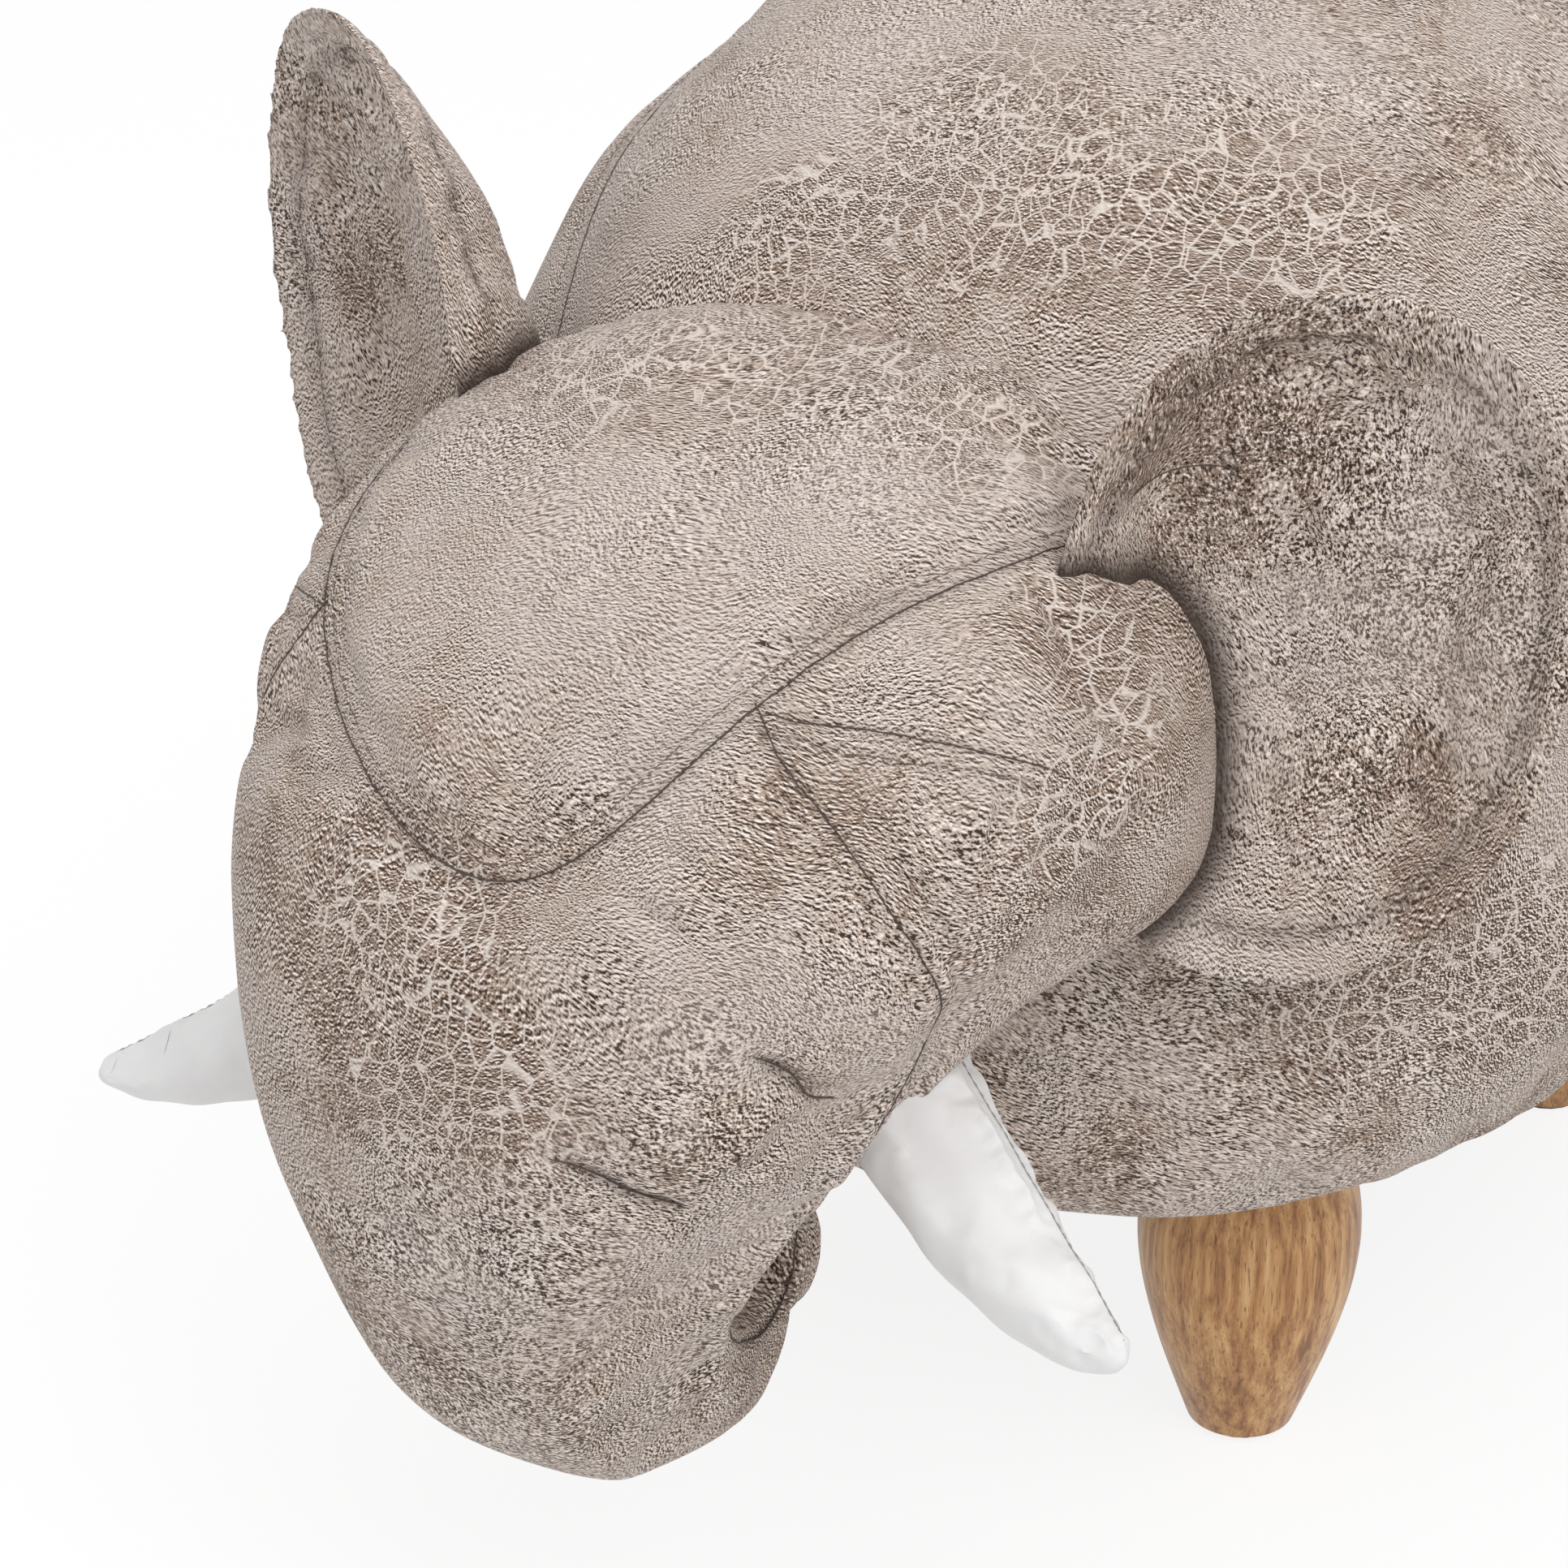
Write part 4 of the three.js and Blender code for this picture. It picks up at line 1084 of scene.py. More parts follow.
    def _grain_height(self, tree: bpy.types.NodeTree, place: Socket, share: Socket) -> Socket:
        """Height of the embossed grain: pebbles, and wrinkles where the hide is stretched.

        Args:
            tree: The material's node tree.
            place: The coordinates in millimetres.
            share: Share of the wrinkles.

        Returns:
            The height, around a half.
        """
        tilt, turn = (math.radians(angle) for angle in self.flow)
        heights = []
        for size, length in ((self.pebble, 1.6), (self.wrinkle, 2.7)):
            drawn = add_node(
                tree, "ShaderNodeMapping",
                {"vector_type": "TEXTURE", "Rotation": (0.0, tilt, turn), "Scale": (length, 1.0, 1.0)},
                {"Vector": place},
            )
            heights.append(add_node(
                tree, "ShaderNodeTexNoise", {"Scale": 1.0 / size, "Detail": 1.0, "Roughness": 0.5},
                {"Vector": drawn.outputs["Vector"]},
            ))
        return add_node(
            tree, "ShaderNodeMix", {"data_type": "FLOAT"},
            {0: share, 2: heights[0].outputs["Fac"], 3: heights[1].outputs["Fac"]},
        ).outputs[0]

    def _pebbles(self, tree: bpy.types.NodeTree, place: Socket) -> tuple[Socket, Socket, Socket]:
        """The grain: where painted shade lies on the lower side of each pebble, where a painted highlight
        lies on its upper side, and its height.

        Args:
            tree: The material's node tree.
            place: The coordinates in millimetres.

        Returns:
            The painted shade and the painted highlight, both from 0 to 1, and the height.
        """
        where = add_node(
            tree, "ShaderNodeTexNoise", {"Scale": 1.0 / 70.0, "Detail": 2.0}, {"Vector": place}
        )
        share = add_node(
            tree, "ShaderNodeMapRange", {"From Min": 0.4, "From Max": 0.62, "To Min": 0.0, "To Max": 0.7},
            {"Value": where.outputs["Fac"]},
        ).outputs["Result"]
        swayed = unsettled(tree, place, 55.0, 14.0)
        above = add_node(tree, "ShaderNodeVectorMath", {"operation": "ADD", 1: self.above}, {0: swayed})
        height = self._grain_height(tree, swayed, share)
        higher = self._grain_height(tree, above.outputs["Vector"], share)
        slope = add_node(tree, "ShaderNodeMath", {"operation": "SUBTRACT"}, {0: height, 1: higher})
        # Painted shade on the lower side of each pebble.
        lower = add_node(
            tree, "ShaderNodeMapRange", {"From Min": -0.025, "From Max": -0.085}, {"Value": slope.outputs[0]}
        )
        # Painted highlight on the upper side of each pebble.
        upper = add_node(
            tree, "ShaderNodeMapRange", {"From Min": 0.03, "From Max": 0.15}, {"Value": slope.outputs[0]}
        )
        return lower.outputs["Result"], upper.outputs["Result"], height

    def _painted_relief_strength(self, tree: bpy.types.NodeTree, place: Socket, pale: Socket) -> Socket:
        """How strong the painted shade and the painted highlight on the grain are: strong where the print is
        rubbed brown, faint under the pale film.

        Args:
            tree: The material's node tree.
            place: The coordinates in millimetres.
            pale: How pale the print is.

        Returns:
            The share of the painted shade's and the painted highlight's colours on the pebbles.
        """
        cloud = add_node(
            tree, "ShaderNodeTexNoise", {"Scale": 1.0 / 24.0, "Detail": 4.0, "Roughness": 0.6},
            {"Vector": place},
        )
        worn = add_node(
            tree, "ShaderNodeMath", {"operation": "SUBTRACT"}, {0: cloud.outputs["Fac"], 1: pale}
        )
        return add_node(
            tree, "ShaderNodeMapRange",
            {"interpolation_type": "SMOOTHSTEP", "From Min": -0.14, "From Max": 0.08, "To Min": 0.72},
            {"Value": worn.outputs[0]},
        ).outputs["Result"]

    def _painted_seam_and_contact_shade(self, tree: bpy.types.NodeTree, colour: Socket) -> Socket:
        """Painted shade: the colour darkened in the grooves of the sewn lines and folds, and where another
        cover lies against it.

        Args:
            tree: The material's node tree.
            colour: The colour without the painted shade.

        Returns:
            The colour with the painted shade.
        """
        # Painted shade in the grooves of the seams, rows of stitches and folds.
        near = add_node(tree, "ShaderNodeAttribute", {"attribute_name": "seam_distance"})
        share = add_node(
            tree, "ShaderNodeMapRange",
            {
                "interpolation_type": "SMOOTHSTEP", "From Min": 0.3, "From Max": 4.0,
                "To Min": 0.3, "To Max": 0.0,
            },
            {"Value": near.outputs["Fac"]},
        )
        # Painted shade where another cover lies against this one.
        beside = add_node(tree, "ShaderNodeAttribute", {"attribute_name": "painted_contact_shade"})
        most = add_node(
            tree, "ShaderNodeMath", {"operation": "MAXIMUM"},
            {0: share.outputs["Result"], 1: beside.outputs["Fac"]},
        )
        return add_node(
            tree, "ShaderNodeMix", {"data_type": "RGBA", 7: srgb(self.painted_shade)}, {0: most.outputs[0], 6: colour}
        ).outputs[2]


@dataclass(frozen=True)
class TuskLeather(Finish):
    """White faux leather: smooth polyurethane with a fine, shallow grain and a satin shine, and painted shade
    along its seam.
    """

    tones: tuple[tuple[float, str], ...] = ((0.35, "#efefef"), (0.6, "#e9e8e8"), (0.75, "#dddad8"))
    # Painted shade in the groove of the seam.
    seam: str = "#a3a09d"

    def build(self) -> bpy.types.Material:
        """Builds the white leather's material.

        Returns:
            The material.
        """
        material, shader = new_material("white smooth faux leather")
        tree = material.node_tree
        place = millimetres(tree)
        cloud = add_node(tree, "ShaderNodeTexNoise", {"Scale": 1.0 / 22.0, "Detail": 4.0}, {"Vector": place})
        tones = add_node(
            tree, "ShaderNodeValToRGB", {"stops": self.tones}, {"Fac": cloud.outputs["Fac"]}
        )
        # Painted shade along the seam's groove.
        near = add_node(tree, "ShaderNodeAttribute", {"attribute_name": "seam_distance"})
        share = add_node(
            tree, "ShaderNodeMapRange", {"From Min": 0.2, "From Max": 1.8, "To Min": 0.35, "To Max": 0.0},
            {"Value": near.outputs["Fac"]},
        )
        colour = add_node(
            tree, "ShaderNodeMix", {"data_type": "RGBA", 7: srgb(self.seam)},
            {0: share.outputs["Result"], 6: tones.outputs["Color"]},
        )
        tree.links.new(colour.outputs[2], shader.inputs["Base Color"])
        grain = add_node(
            tree, "ShaderNodeTexVoronoi", {"feature": "F1", "Scale": 1.0 / 1.1},
            {"Vector": unsettled(tree, place, 3.0, 0.6)},
        )
        normal = add_node(
            tree, "ShaderNodeBump", {"Distance": 0.1 * MM, "Strength": 0.3},
            {"Height": grain.outputs["Distance"]},
        )
        tree.links.new(normal.outputs["Normal"], shader.inputs["Normal"])
        shader.inputs["Roughness"].default_value = 0.46
        shader.inputs["Specular IOR Level"].default_value = 0.45
        return material


@dataclass(frozen=True)
class TurnedOak(Finish):
    """Turned oak under clear satin lacquer: straight grain with dark pores along it."""

    tones: tuple[tuple[float, str], ...] = (
        (0.33, "#85552b"), (0.44, "#b07c4a"), (0.54, "#cc9a63"), (0.68, "#e2b981"),
    )
    pore: str = "#643c1c"

    def build(self) -> bpy.types.Material:
        """Builds the oak's material, with its grain running up the leg.

        Returns:
            The material.
        """
        material, shader = new_material("lacquered turned oak")
        tree = material.node_tree
        place = millimetres(tree)
        upward = add_node(
            tree, "ShaderNodeMapping", {"Scale": (1.0, 1.0, 0.04)},
            {"Vector": unsettled(tree, place, 22.0, 1.6)},
        )
        streaks = add_node(
            tree, "ShaderNodeTexNoise", {"Scale": 1.0 / 3.2, "Detail": 6.0, "Roughness": 0.66},
            {"Vector": upward.outputs["Vector"]},
        )
        tones = add_node(
            tree, "ShaderNodeValToRGB", {"stops": self.tones}, {"Fac": streaks.outputs["Fac"]}
        )
        short = add_node(tree, "ShaderNodeMapping", {"Scale": (1.0, 1.0, 0.1)}, {"Vector": place})
        specks = add_node(
            tree, "ShaderNodeTexNoise", {"Scale": 1.0 / 0.6, "Detail": 2.0},
            {"Vector": short.outputs["Vector"]},
        )
        pores = add_node(
            tree, "ShaderNodeMapRange", {"From Min": 0.58, "From Max": 0.7, "To Min": 0.0, "To Max": 0.7},
            {"Value": specks.outputs["Fac"]},
        )
        colour = add_node(
            tree, "ShaderNodeMix", {"data_type": "RGBA", 7: srgb(self.pore)},
            {0: pores.outputs["Result"], 6: tones.outputs["Color"]},
        )
        tree.links.new(colour.outputs[2], shader.inputs["Base Color"])
        normal = add_node(
            tree, "ShaderNodeBump", {"Distance": 0.1 * MM, "Strength": 0.4, "invert": True},
            {"Height": pores.outputs["Result"]},
        )
        tree.links.new(normal.outputs["Normal"], shader.inputs["Normal"])
        shader.inputs["Roughness"].default_value = 0.42
        shader.inputs["Coat Weight"].default_value = 0.15
        shader.inputs["Coat Roughness"].default_value = 0.3
        return material


@dataclass(frozen=True)
class Birch(Finish):
    """Sanded birch plywood: pale, with a faint grain along the board."""

    tones: tuple[tuple[float, str], ...] = ((0.4, "#b9935f"), (0.65, "#d3b587"))

    def build(self) -> bpy.types.Material:
        """Builds the plywood's material.

        Returns:
            The material.
        """
        material, shader = new_material("sanded birch plywood")
        tree = material.node_tree
        along = add_node(
            tree, "ShaderNodeMapping", {"Scale": (1.0, 0.06, 1.0)}, {"Vector": millimetres(tree)}
        )
        grain = add_node(
            tree, "ShaderNodeTexNoise", {"Scale": 1.0 / 4.0, "Detail": 5.0, "Roughness": 0.6},
            {"Vector": along.outputs["Vector"]},
        )
        tones = add_node(tree, "ShaderNodeValToRGB", {"stops": self.tones}, {"Fac": grain.outputs["Fac"]})
        tree.links.new(tones.outputs["Color"], shader.inputs["Base Color"])
        normal = add_node(
            tree, "ShaderNodeBump", {"Distance": 0.15 * MM, "Strength": 0.4}, {"Height": grain.outputs["Fac"]}
        )
        tree.links.new(normal.outputs["Normal"], shader.inputs["Normal"])
        shader.inputs["Roughness"].default_value = 0.72
        return material


@dataclass(frozen=True)
class Zinc(Finish):
    """Zinc plated steel: bluish grey and slightly dull, with a faint spangle."""

    tones: tuple[tuple[float, str], ...] = ((0.35, "#a7abb0"), (0.65, "#c3c6ca"))

    def build(self) -> bpy.types.Material:
        """Builds the plated steel's material.

        Returns:
            The material.
        """
        material, shader = new_material("zinc plated steel")
        tree = material.node_tree
        spangle = add_node(
            tree, "ShaderNodeTexNoise", {"Scale": 1.0 / 2.5, "Detail": 4.0, "Roughness": 0.6},
            {"Vector": millimetres(tree)},
        )
        tones = add_node(tree, "ShaderNodeValToRGB", {"stops": self.tones}, {"Fac": spangle.outputs["Fac"]})
        tree.links.new(tones.outputs["Color"], shader.inputs["Base Color"])
        dull = add_node(
            tree, "ShaderNodeMapRange", {"From Min": 0.3, "From Max": 0.7, "To Min": 0.3, "To Max": 0.5},
            {"Value": spangle.outputs["Fac"]},
        )
        tree.links.new(dull.outputs["Result"], shader.inputs["Roughness"])
        shader.inputs["Metallic"].default_value = 1.0
        return material


@dataclass(frozen=True)
class Fibre(Finish):
    """Pressed, spun or foamed fibre: a matt mat of fine hairs or cells.

    Attributes:
        name: The material's name.
        colour: Its colour.
        hair: The colour of its hairs.
        size: Width of a tuft in millimetres.
    """

    name: str
    colour: str
    hair: str
    size: float = 0.5

    def build(self) -> bpy.types.Material:
        """Builds the fibre's material.

        Returns:
            The material.
        """
        material, shader = new_material(self.name)
        tree = material.node_tree
        hairs = add_node(
            tree, "ShaderNodeTexNoise", {"Scale": 1.0 / self.size, "Detail": 4.0, "Roughness": 0.7},
            {"Vector": unsettled(tree, millimetres(tree), 2.0, 1.0)},
        )
        tones = add_node(
            tree, "ShaderNodeValToRGB", {"stops": ((0.4, self.colour), (0.7, self.hair))},
            {"Fac": hairs.outputs["Fac"]},
        )
        tree.links.new(tones.outputs["Color"], shader.inputs["Base Color"])
        normal = add_node(
            tree, "ShaderNodeBump", {"Distance": 0.3 * MM, "Strength": 0.6}, {"Height": hairs.outputs["Fac"]}
        )
        tree.links.new(normal.outputs["Normal"], shader.inputs["Normal"])
        shader.inputs["Roughness"].default_value = 0.95
        shader.inputs["Specular IOR Level"].default_value = 0.2
        return material


@dataclass(frozen=True)
class Thread(Finish):
    """Bonded polyester sewing thread: twisted, with a dull shine.

    Attributes:
        name: The material's name.
        colour: The thread's colour.
        shade: The colour between its strands.
    """

    name: str
    colour: str
    shade: str

    def build(self) -> bpy.types.Material:
        """Builds the thread's material.

        Returns:
            The material.
        """
        material, shader = new_material(self.name)
        tree = material.node_tree
        twist = add_node(
            tree, "ShaderNodeTexNoise", {"Scale": 1.0 / 0.35, "Detail": 2.0}, {"Vector": millimetres(tree)}
        )
        tones = add_node(
            tree, "ShaderNodeValToRGB", {"stops": ((0.4, self.shade), (0.6, self.colour))},
            {"Fac": twist.outputs["Fac"]},
        )
        tree.links.new(tones.outputs["Color"], shader.inputs["Base Color"])
        shader.inputs["Roughness"].default_value = 0.6
        return material


BODY_HIDE = Hide("distressed pebble-grain faux leather, body")
HEAD_HIDE = Hide("distressed pebble-grain faux leather, head", shift=(310.0, 170.0, 90.0))
LEFT_EAR_HIDE = Hide(
    "distressed pebble-grain faux leather, left ear", (90.0, 410.0, 30.0), flow=(78.0, 32.0)
)
RIGHT_EAR_HIDE = Hide(
    "distressed pebble-grain faux leather, right ear", (530.0, 40.0, 260.0), flow=(60.0, 32.0)
)
SEAM_THREAD = Thread("brown polyester thread", "#5a483e", "#3a2d26")
TOP_THREAD = Thread("taupe polyester thread", "#85756a", "#5f5148")
TUSK_THREAD = Thread("grey polyester thread", "#a8a6a3", "#8a8885")


# Printed zones of the hide


@dataclass(frozen=True)
class Zone:
    """A place where the print shows more of one thing.

    Attributes:
        attribute: The number on the mesh that it raises.
        middle: Its middle in millimetres, in the forms' frame.
        radius: Its reach in millimetres.
        strength: How much it raises the number.
    """

    attribute: str
    middle: tuple[float, float, float]
    radius: float
    strength: float = 1.0


ZONES = (
    Zone("net", (15, -140, 370), 64),
    Zone("net", (75, -118, 368), 62),
    Zone("net", (-30, -165, 352), 40),
    Zone("net", (-38, -226, 334), 52),
    Zone("net", (8, -216, 339), 50),
    Zone("net", (52, -217, 336), 38),
    Zone("net", (100, -240, 298), 36),
    Zone("net", (112, -265, 270), 30),
    Zone("net", (-16, -356, 243), 44),
    Zone("net", (2, -366, 208), 48),
    Zone("net", (24, -352, 143), 44, 0.6),
    Zone("net", (138, -168, 184), 42),
    Zone("net", (162, -122, 176), 48),
    Zone("net", (60, 30, 396), 60, 0.8),
    Zone("net", (-150, 40, 300), 55, 0.9),
    Zone("net", (120, 150, 330), 60, 0.9),
    Zone("worn", (150, -195, 361), 52, 0.5),
    Zone("worn", (178, -179, 330), 44, 0.4),
    Zone("worn", (171, -181, 265), 40, 0.3),
    Zone("worn", (113, -219, 220), 34, 0.3),
    Zone("worn", (-158, -185, 376), 34, 0.4),
    Zone("worn", (-172, -180, 312), 52, 0.2),
    Zone("worn", (-8, -362, 225), 60, 0.8),
    Zone("worn", (30, -150, 362), 70, 0.6),
    Zone("film", (-70, -278, 314), 60),
    Zone("film", (-27, -318, 298), 54),
    Zone("film", (63, -235, 329), 34),
    Zone("film", (-81, -153, 346), 64),
    Zone("film", (-47, -108, 383), 64),
    Zone("film", (53, -80, 390), 44),
    Zone("film", (81, -283, 299), 30),
)


def print_zones(cover: bpy.types.Object) -> None:
    """Stores on a cover how strong each printed zone is.

    Args:
        cover: The cover, at its final resolution.
    """
    places = (places_of(cover) - Origin.offset) / MM
    values = {zone.attribute: np.zeros(len(places)) for zone in ZONES}
    for zone in ZONES:
        gap = np.linalg.norm(places - np.array(zone.middle), axis=1)
        part = zone.strength * (1 - smooth_step(gap, 0.25 * zone.radius, zone.radius))
        values[zone.attribute] = np.maximum(values[zone.attribute], part)
    for name, value in values.items():
        set_attribute(cover, name, value)


# Forms of the animal


@dataclass(frozen=True)
class BodyForm:
    """The stuffed body, a rounded box that is flat below. Sizes in millimetres."""

    half_width: float = 176.0
    half_length: float = 225.0
    crown_height: float = 240.0
    belly_depth: float = 74.0
    fullness: float = 2.65
    belly_fullness: float = 3.4
    underside: float = 92.0
    waist: float = 160.0

    def points(self, across: Array, around: Array) -> Array:
        """Points of the body.

        Args:
            across: Degrees from the right flank, -90, to the left flank, 90.
            around: Degrees from the chest, 0, over the seat and rump to the belly, 270.

        Returns:
            The points in millimetres.
        """
        a, r = np.radians(across), np.radians(around)
        rest = np.maximum(np.cos(a), 0.0)
        up = rest * np.sin(r)
        x = self.half_width * signed_power(np.sin(a), self.fullness)
        y = -self.half_length * signed_power(rest * np.cos(r), self.fullness)
        above = np.abs(up) ** (2.0 / self.fullness) * self.crown_height
        flat = np.clip(1.0 - up**2, 0.0, 1.0)
        close = 1.0 - flat ** (self.belly_fullness / self.fullness)
        below = -np.abs(close) ** (1.0 / self.belly_fullness) * self.belly_depth
        z = self.waist + np.where(up >= 0, above, below)
        return np.stack([x, y, np.maximum(z, self.underside)], axis=-1)

    def across_at(self, x: float) -> float:
        """The across angle at a distance from the middle plane."""
        return math.degrees(math.asin(math.copysign((abs(x) / self.half_width) ** (self.fullness / 2), x)))


@dataclass
class Body:
    """The body's cover with the seat seam on its right and a seam down the rump."""

    form: BodyForm = field(default_factory=BodyForm)
    stuffing: Stuffing = field(default_factory=lambda: Stuffing(voxel=5.0, ease=3.5, cap=7.0))
    seam_x: float = -118.0
    seam_bend: float = 18.0
    seam_from: float = 24.0
    bend_to: float = 62.0
    seam_to: float = 300.0
    topstitch_gap: float = 7.0
    rump_seam: float = 148.0
    rump_seam_to: float = 88.0
    held_height: tuple[float, float] = (5.0, 14.0)
    rings: int = 72
    columns: int = 144

    def side_line(self, away: float) -> Array:
        """The long seam on the right, or the row of stitches beside it.

        Args:
            away: Its distance from the edge of the panels in millimetres.

        Returns:
            Its points in metres.
        """
        around = np.linspace(self.seam_from, self.seam_to, 90)
        bend = self.seam_bend * (1 - smooth_step(around, self.seam_from, self.bend_to))
        across = np.array([self.form.across_at(self.seam_x + b - away) for b in bend])
        return Origin.place(self.form.points(across, around))

    def lines(self) -> list[SewnLine]:
        """The sewn lines of the body.

        Returns:
            The side seam, its row of stitches and the seam over the rump.
        """
        edge = self.form.across_at(self.seam_x)
        rump = self.form.points(np.linspace(edge, self.rump_seam_to, 60), np.full(60, self.rump_seam))
        return [
            SewnLine(LineKind.SEAM, self.side_line(0.0)),
            SewnLine(LineKind.TOPSTITCH, self.side_line(self.topstitch_gap)),
            SewnLine(LineKind.SEAM, Origin.place(rump), strength=0.9),
        ]

    def held_below(self, places: Array) -> Array:
        """The underside is held flat by the base board."""
        height = places[:, 2] / MM
        low, high = (self.form.underside + gap for gap in self.held_height)
        return 1.0 - smooth_step(height, low, high)

    def build(self) -> None:
        """Builds the body's cover, its thread and its seams."""
        across = np.linspace(-90.0, 90.0, self.rings)[:, None]
        around = np.linspace(0.0, 360.0, self.columns, endpoint=False)[None, :]
        grid = self.form.points(*np.broadcast_arrays(across, around))
        cover = lofted("body_cover", grid)
        lines = self.lines()
        self.stuffing.fill(cover, lines, self.held_below)
        uneven = Unevenness(size=70.0, height=0.9, seed=3)
        places = places_of(cover)
        soft = 1.0 - self.held_below(places)
        set_places(cover, places + normals_of(cover) * (uneven.at(places) * soft)[:, None])
        places = places_of(cover)
        places[:, 2] = np.maximum(places[:, 2], self.form.underside * MM)
        set_places(cover, places)
        finish_cover(
            cover, lines, BODY_HIDE,
            ("seat_panel", "chest_panel", "rump_panel", "left_flank", "right_flank", "seat_foam",
             "side_foam"),
        )


def finish_cover(
    cover: bpy.types.Object, lines: list[SewnLine], finish: Finish, nodes: Sequence[str],
    thread: Finish = SEAM_THREAD
) -> None:
    """Presses the lines into a cover, lays its thread, dresses it and registers all of it.

    Args:
        cover: The filled cover.
        lines: Its sewn lines.
        finish: The cover's finish.
        nodes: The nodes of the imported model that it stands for.
        thread: The finish of its thread.
    """
    seams = [line for line in lines if line.kind is not LineKind.TOPSTITCH]
    rows = [line for line in lines if line.kind is LineKind.TOPSTITCH]
    Sewing("", lines).press(cover)
    print_zones(cover)
    dress(cover, finish.material())
    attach(cover, "root")
    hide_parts(*nodes)
    base = cover.name.removesuffix("_cover")
    groups = ((base + "_seam_stitches", seams, thread), (base + "_topstitches", rows, TOP_THREAD))
    for name, group, look in groups:
        if not any(line.stitched and line.kind is not LineKind.FOLD for line in group):
            continue
        stitches = Sewing(name, group).thread(cover)
        dress(stitches, (thread if thread is TUSK_THREAD else look).material())
        shade_smooth(stitches)
        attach(stitches, "root")
        LOG.info("%s has %d faces", name, len(stitches.data.polygons))
    # Stitched seams and folds get a thin dark tube of painted shade in their crease.
    drawn = [line for line in seams if line.stitched or line.kind is LineKind.FOLD]
    if drawn:
        crease = CreaseShade(base + "_painted_crease_shade").build(cover, drawn)
        dress(crease, thread.material())
        shade_smooth(crease)
        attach(crease, "root")
    LOG.info("%s has %d faces", cover.name, len(cover.data.polygons))


def shade_against(cover: bpy.types.Object, neighbour: bpy.types.Object, reach: float = 12.0) -> None:
    """Stores how closely another cover lies against a cover, for the painted shade between them.

    Args:
        cover: The cover that is darkened.
        neighbour: The cover that lies against it.
        reach: How far the shade reaches, in millimetres.
    """
    places = places_of(cover)
    spots, _ = Surface(neighbour).nearest(places)
    gap = np.linalg.norm(places - spots, axis=1) / MM
    # Painted shade, darkest where the two covers touch.
    set_attribute(cover, "painted_contact_shade", 0.95 * (1 - smooth_step(gap, 0.0, reach)) ** 1.5)


@dataclass(frozen=True)
class HeadForm:
    """The head and trunk, lofted from the neck to the curled tip. Sizes in millimetres."""

    half_width: float = 117.0
    front_depth: float = 82.0
    back_depth: float = 84.0
    neck_y: float = -146.0
    neck_height: float = 260.0
    reach: float = 155.0
    drop: float = 172.0
    lean: float = 13.0
    tip_share: float = 0.94

    # forward, down, tilt in degrees, width, front depth, back depth, lean, fullness
    sections: tuple[tuple[float, ...], ...] = (
        (0.0, 0.047, -4, 0.77, 0.976, 1.0, -0.15, 2.6),
        (0.206, 0.012, 7, 0.897, 0.988, 0.976, -0.15, 2.7),
        (0.4, 0.0, 23, 0.991, 0.976, 0.93, -0.15, 2.7),
        (0.671, 0.081, 40, 1.0, 1.0, 0.81, -0.13, 2.5),
        (0.852, 0.262, 57, 0.903, 1.012, 0.595, -0.22, 2.3),
        (0.968, 0.459, 73, 0.708, 0.927, 0.44, -0.6, 2.2),
        (1.0, 0.674, 88, 0.538, 0.72, 0.405, -0.95, 2.2),
        (0.974, 0.855, 112, 0.41, 0.549, 0.345, -1.0, 2.2),
        (0.852, 0.983, 145, 0.3, 0.402, 0.298, -0.6, 2.2),
        (0.7, 1.0, 188, 0.22, 0.317, 0.26, -0.05, 2.2),
        (0.6, 0.76, 262, 0.175, 0.21, 0.2, 1.0, 2.2),
    )
    tusk_hollows: tuple[tuple[float, float, float], ...] = ((98.0, -280.0, 200.0), (112.0, -264.0, 226.0))
    hollow_radius: float = 46.0
    hollow_push: tuple[float, float, float] = (-8.0, -1.0, 7.0)

    def points(self, share: Array, angle: Array) -> Array:
        """Points of the head and trunk.

        Args:
            share: The way from the neck, 0, to the trunk's tip, 1.
            angle: Degrees from the middle line of the forehead, the animal's left positive.

        Returns:
            The points in millimetres.
        """
        rows = catmull_rom(np.array(self.sections, float), np.asarray(share, float))
        forward, down, tilt, width, front, back, lean, fullness = np.moveaxis(rows, -1, 0)
        past = np.maximum(0.0, (share - self.tip_share) / (1.0 - self.tip_share))
        closing = np.sqrt(np.maximum(0.0, 1.0 - past**2))
        a, t = np.radians(angle), np.radians(tilt)
        depth = np.where(np.cos(a) >= 0, front * self.front_depth, back * self.back_depth) * closing
        out = depth * signed_power(np.cos(a), fullness)
        x = lean * self.lean + width * self.half_width * closing * signed_power(np.sin(a), fullness)
        y = self.neck_y - forward * self.reach - np.sin(t) * out
        z = self.neck_height - down * self.drop + np.cos(t) * out
        return self._drawn_in(np.stack([x, y, z], axis=-1))

    def _drawn_in(self, points: Array) -> Array:
        """Draws the cheeks in above the roots of the tusks.

        Args:
            points: Points of the plain head in millimetres.

        Returns:
            The points moved.
        """
        moved = points.copy()
        for side in (1.0, -1.0):
            mirror = np.array((side, 1.0, 1.0))
            for middle in self.tusk_hollows:
                gap = np.linalg.norm(points - middle * mirror, axis=-1)
                near = 1 - smooth_step(gap, 0.0, self.hollow_radius)
                moved += near[..., None] * np.array(self.hollow_push) * mirror
        return moved


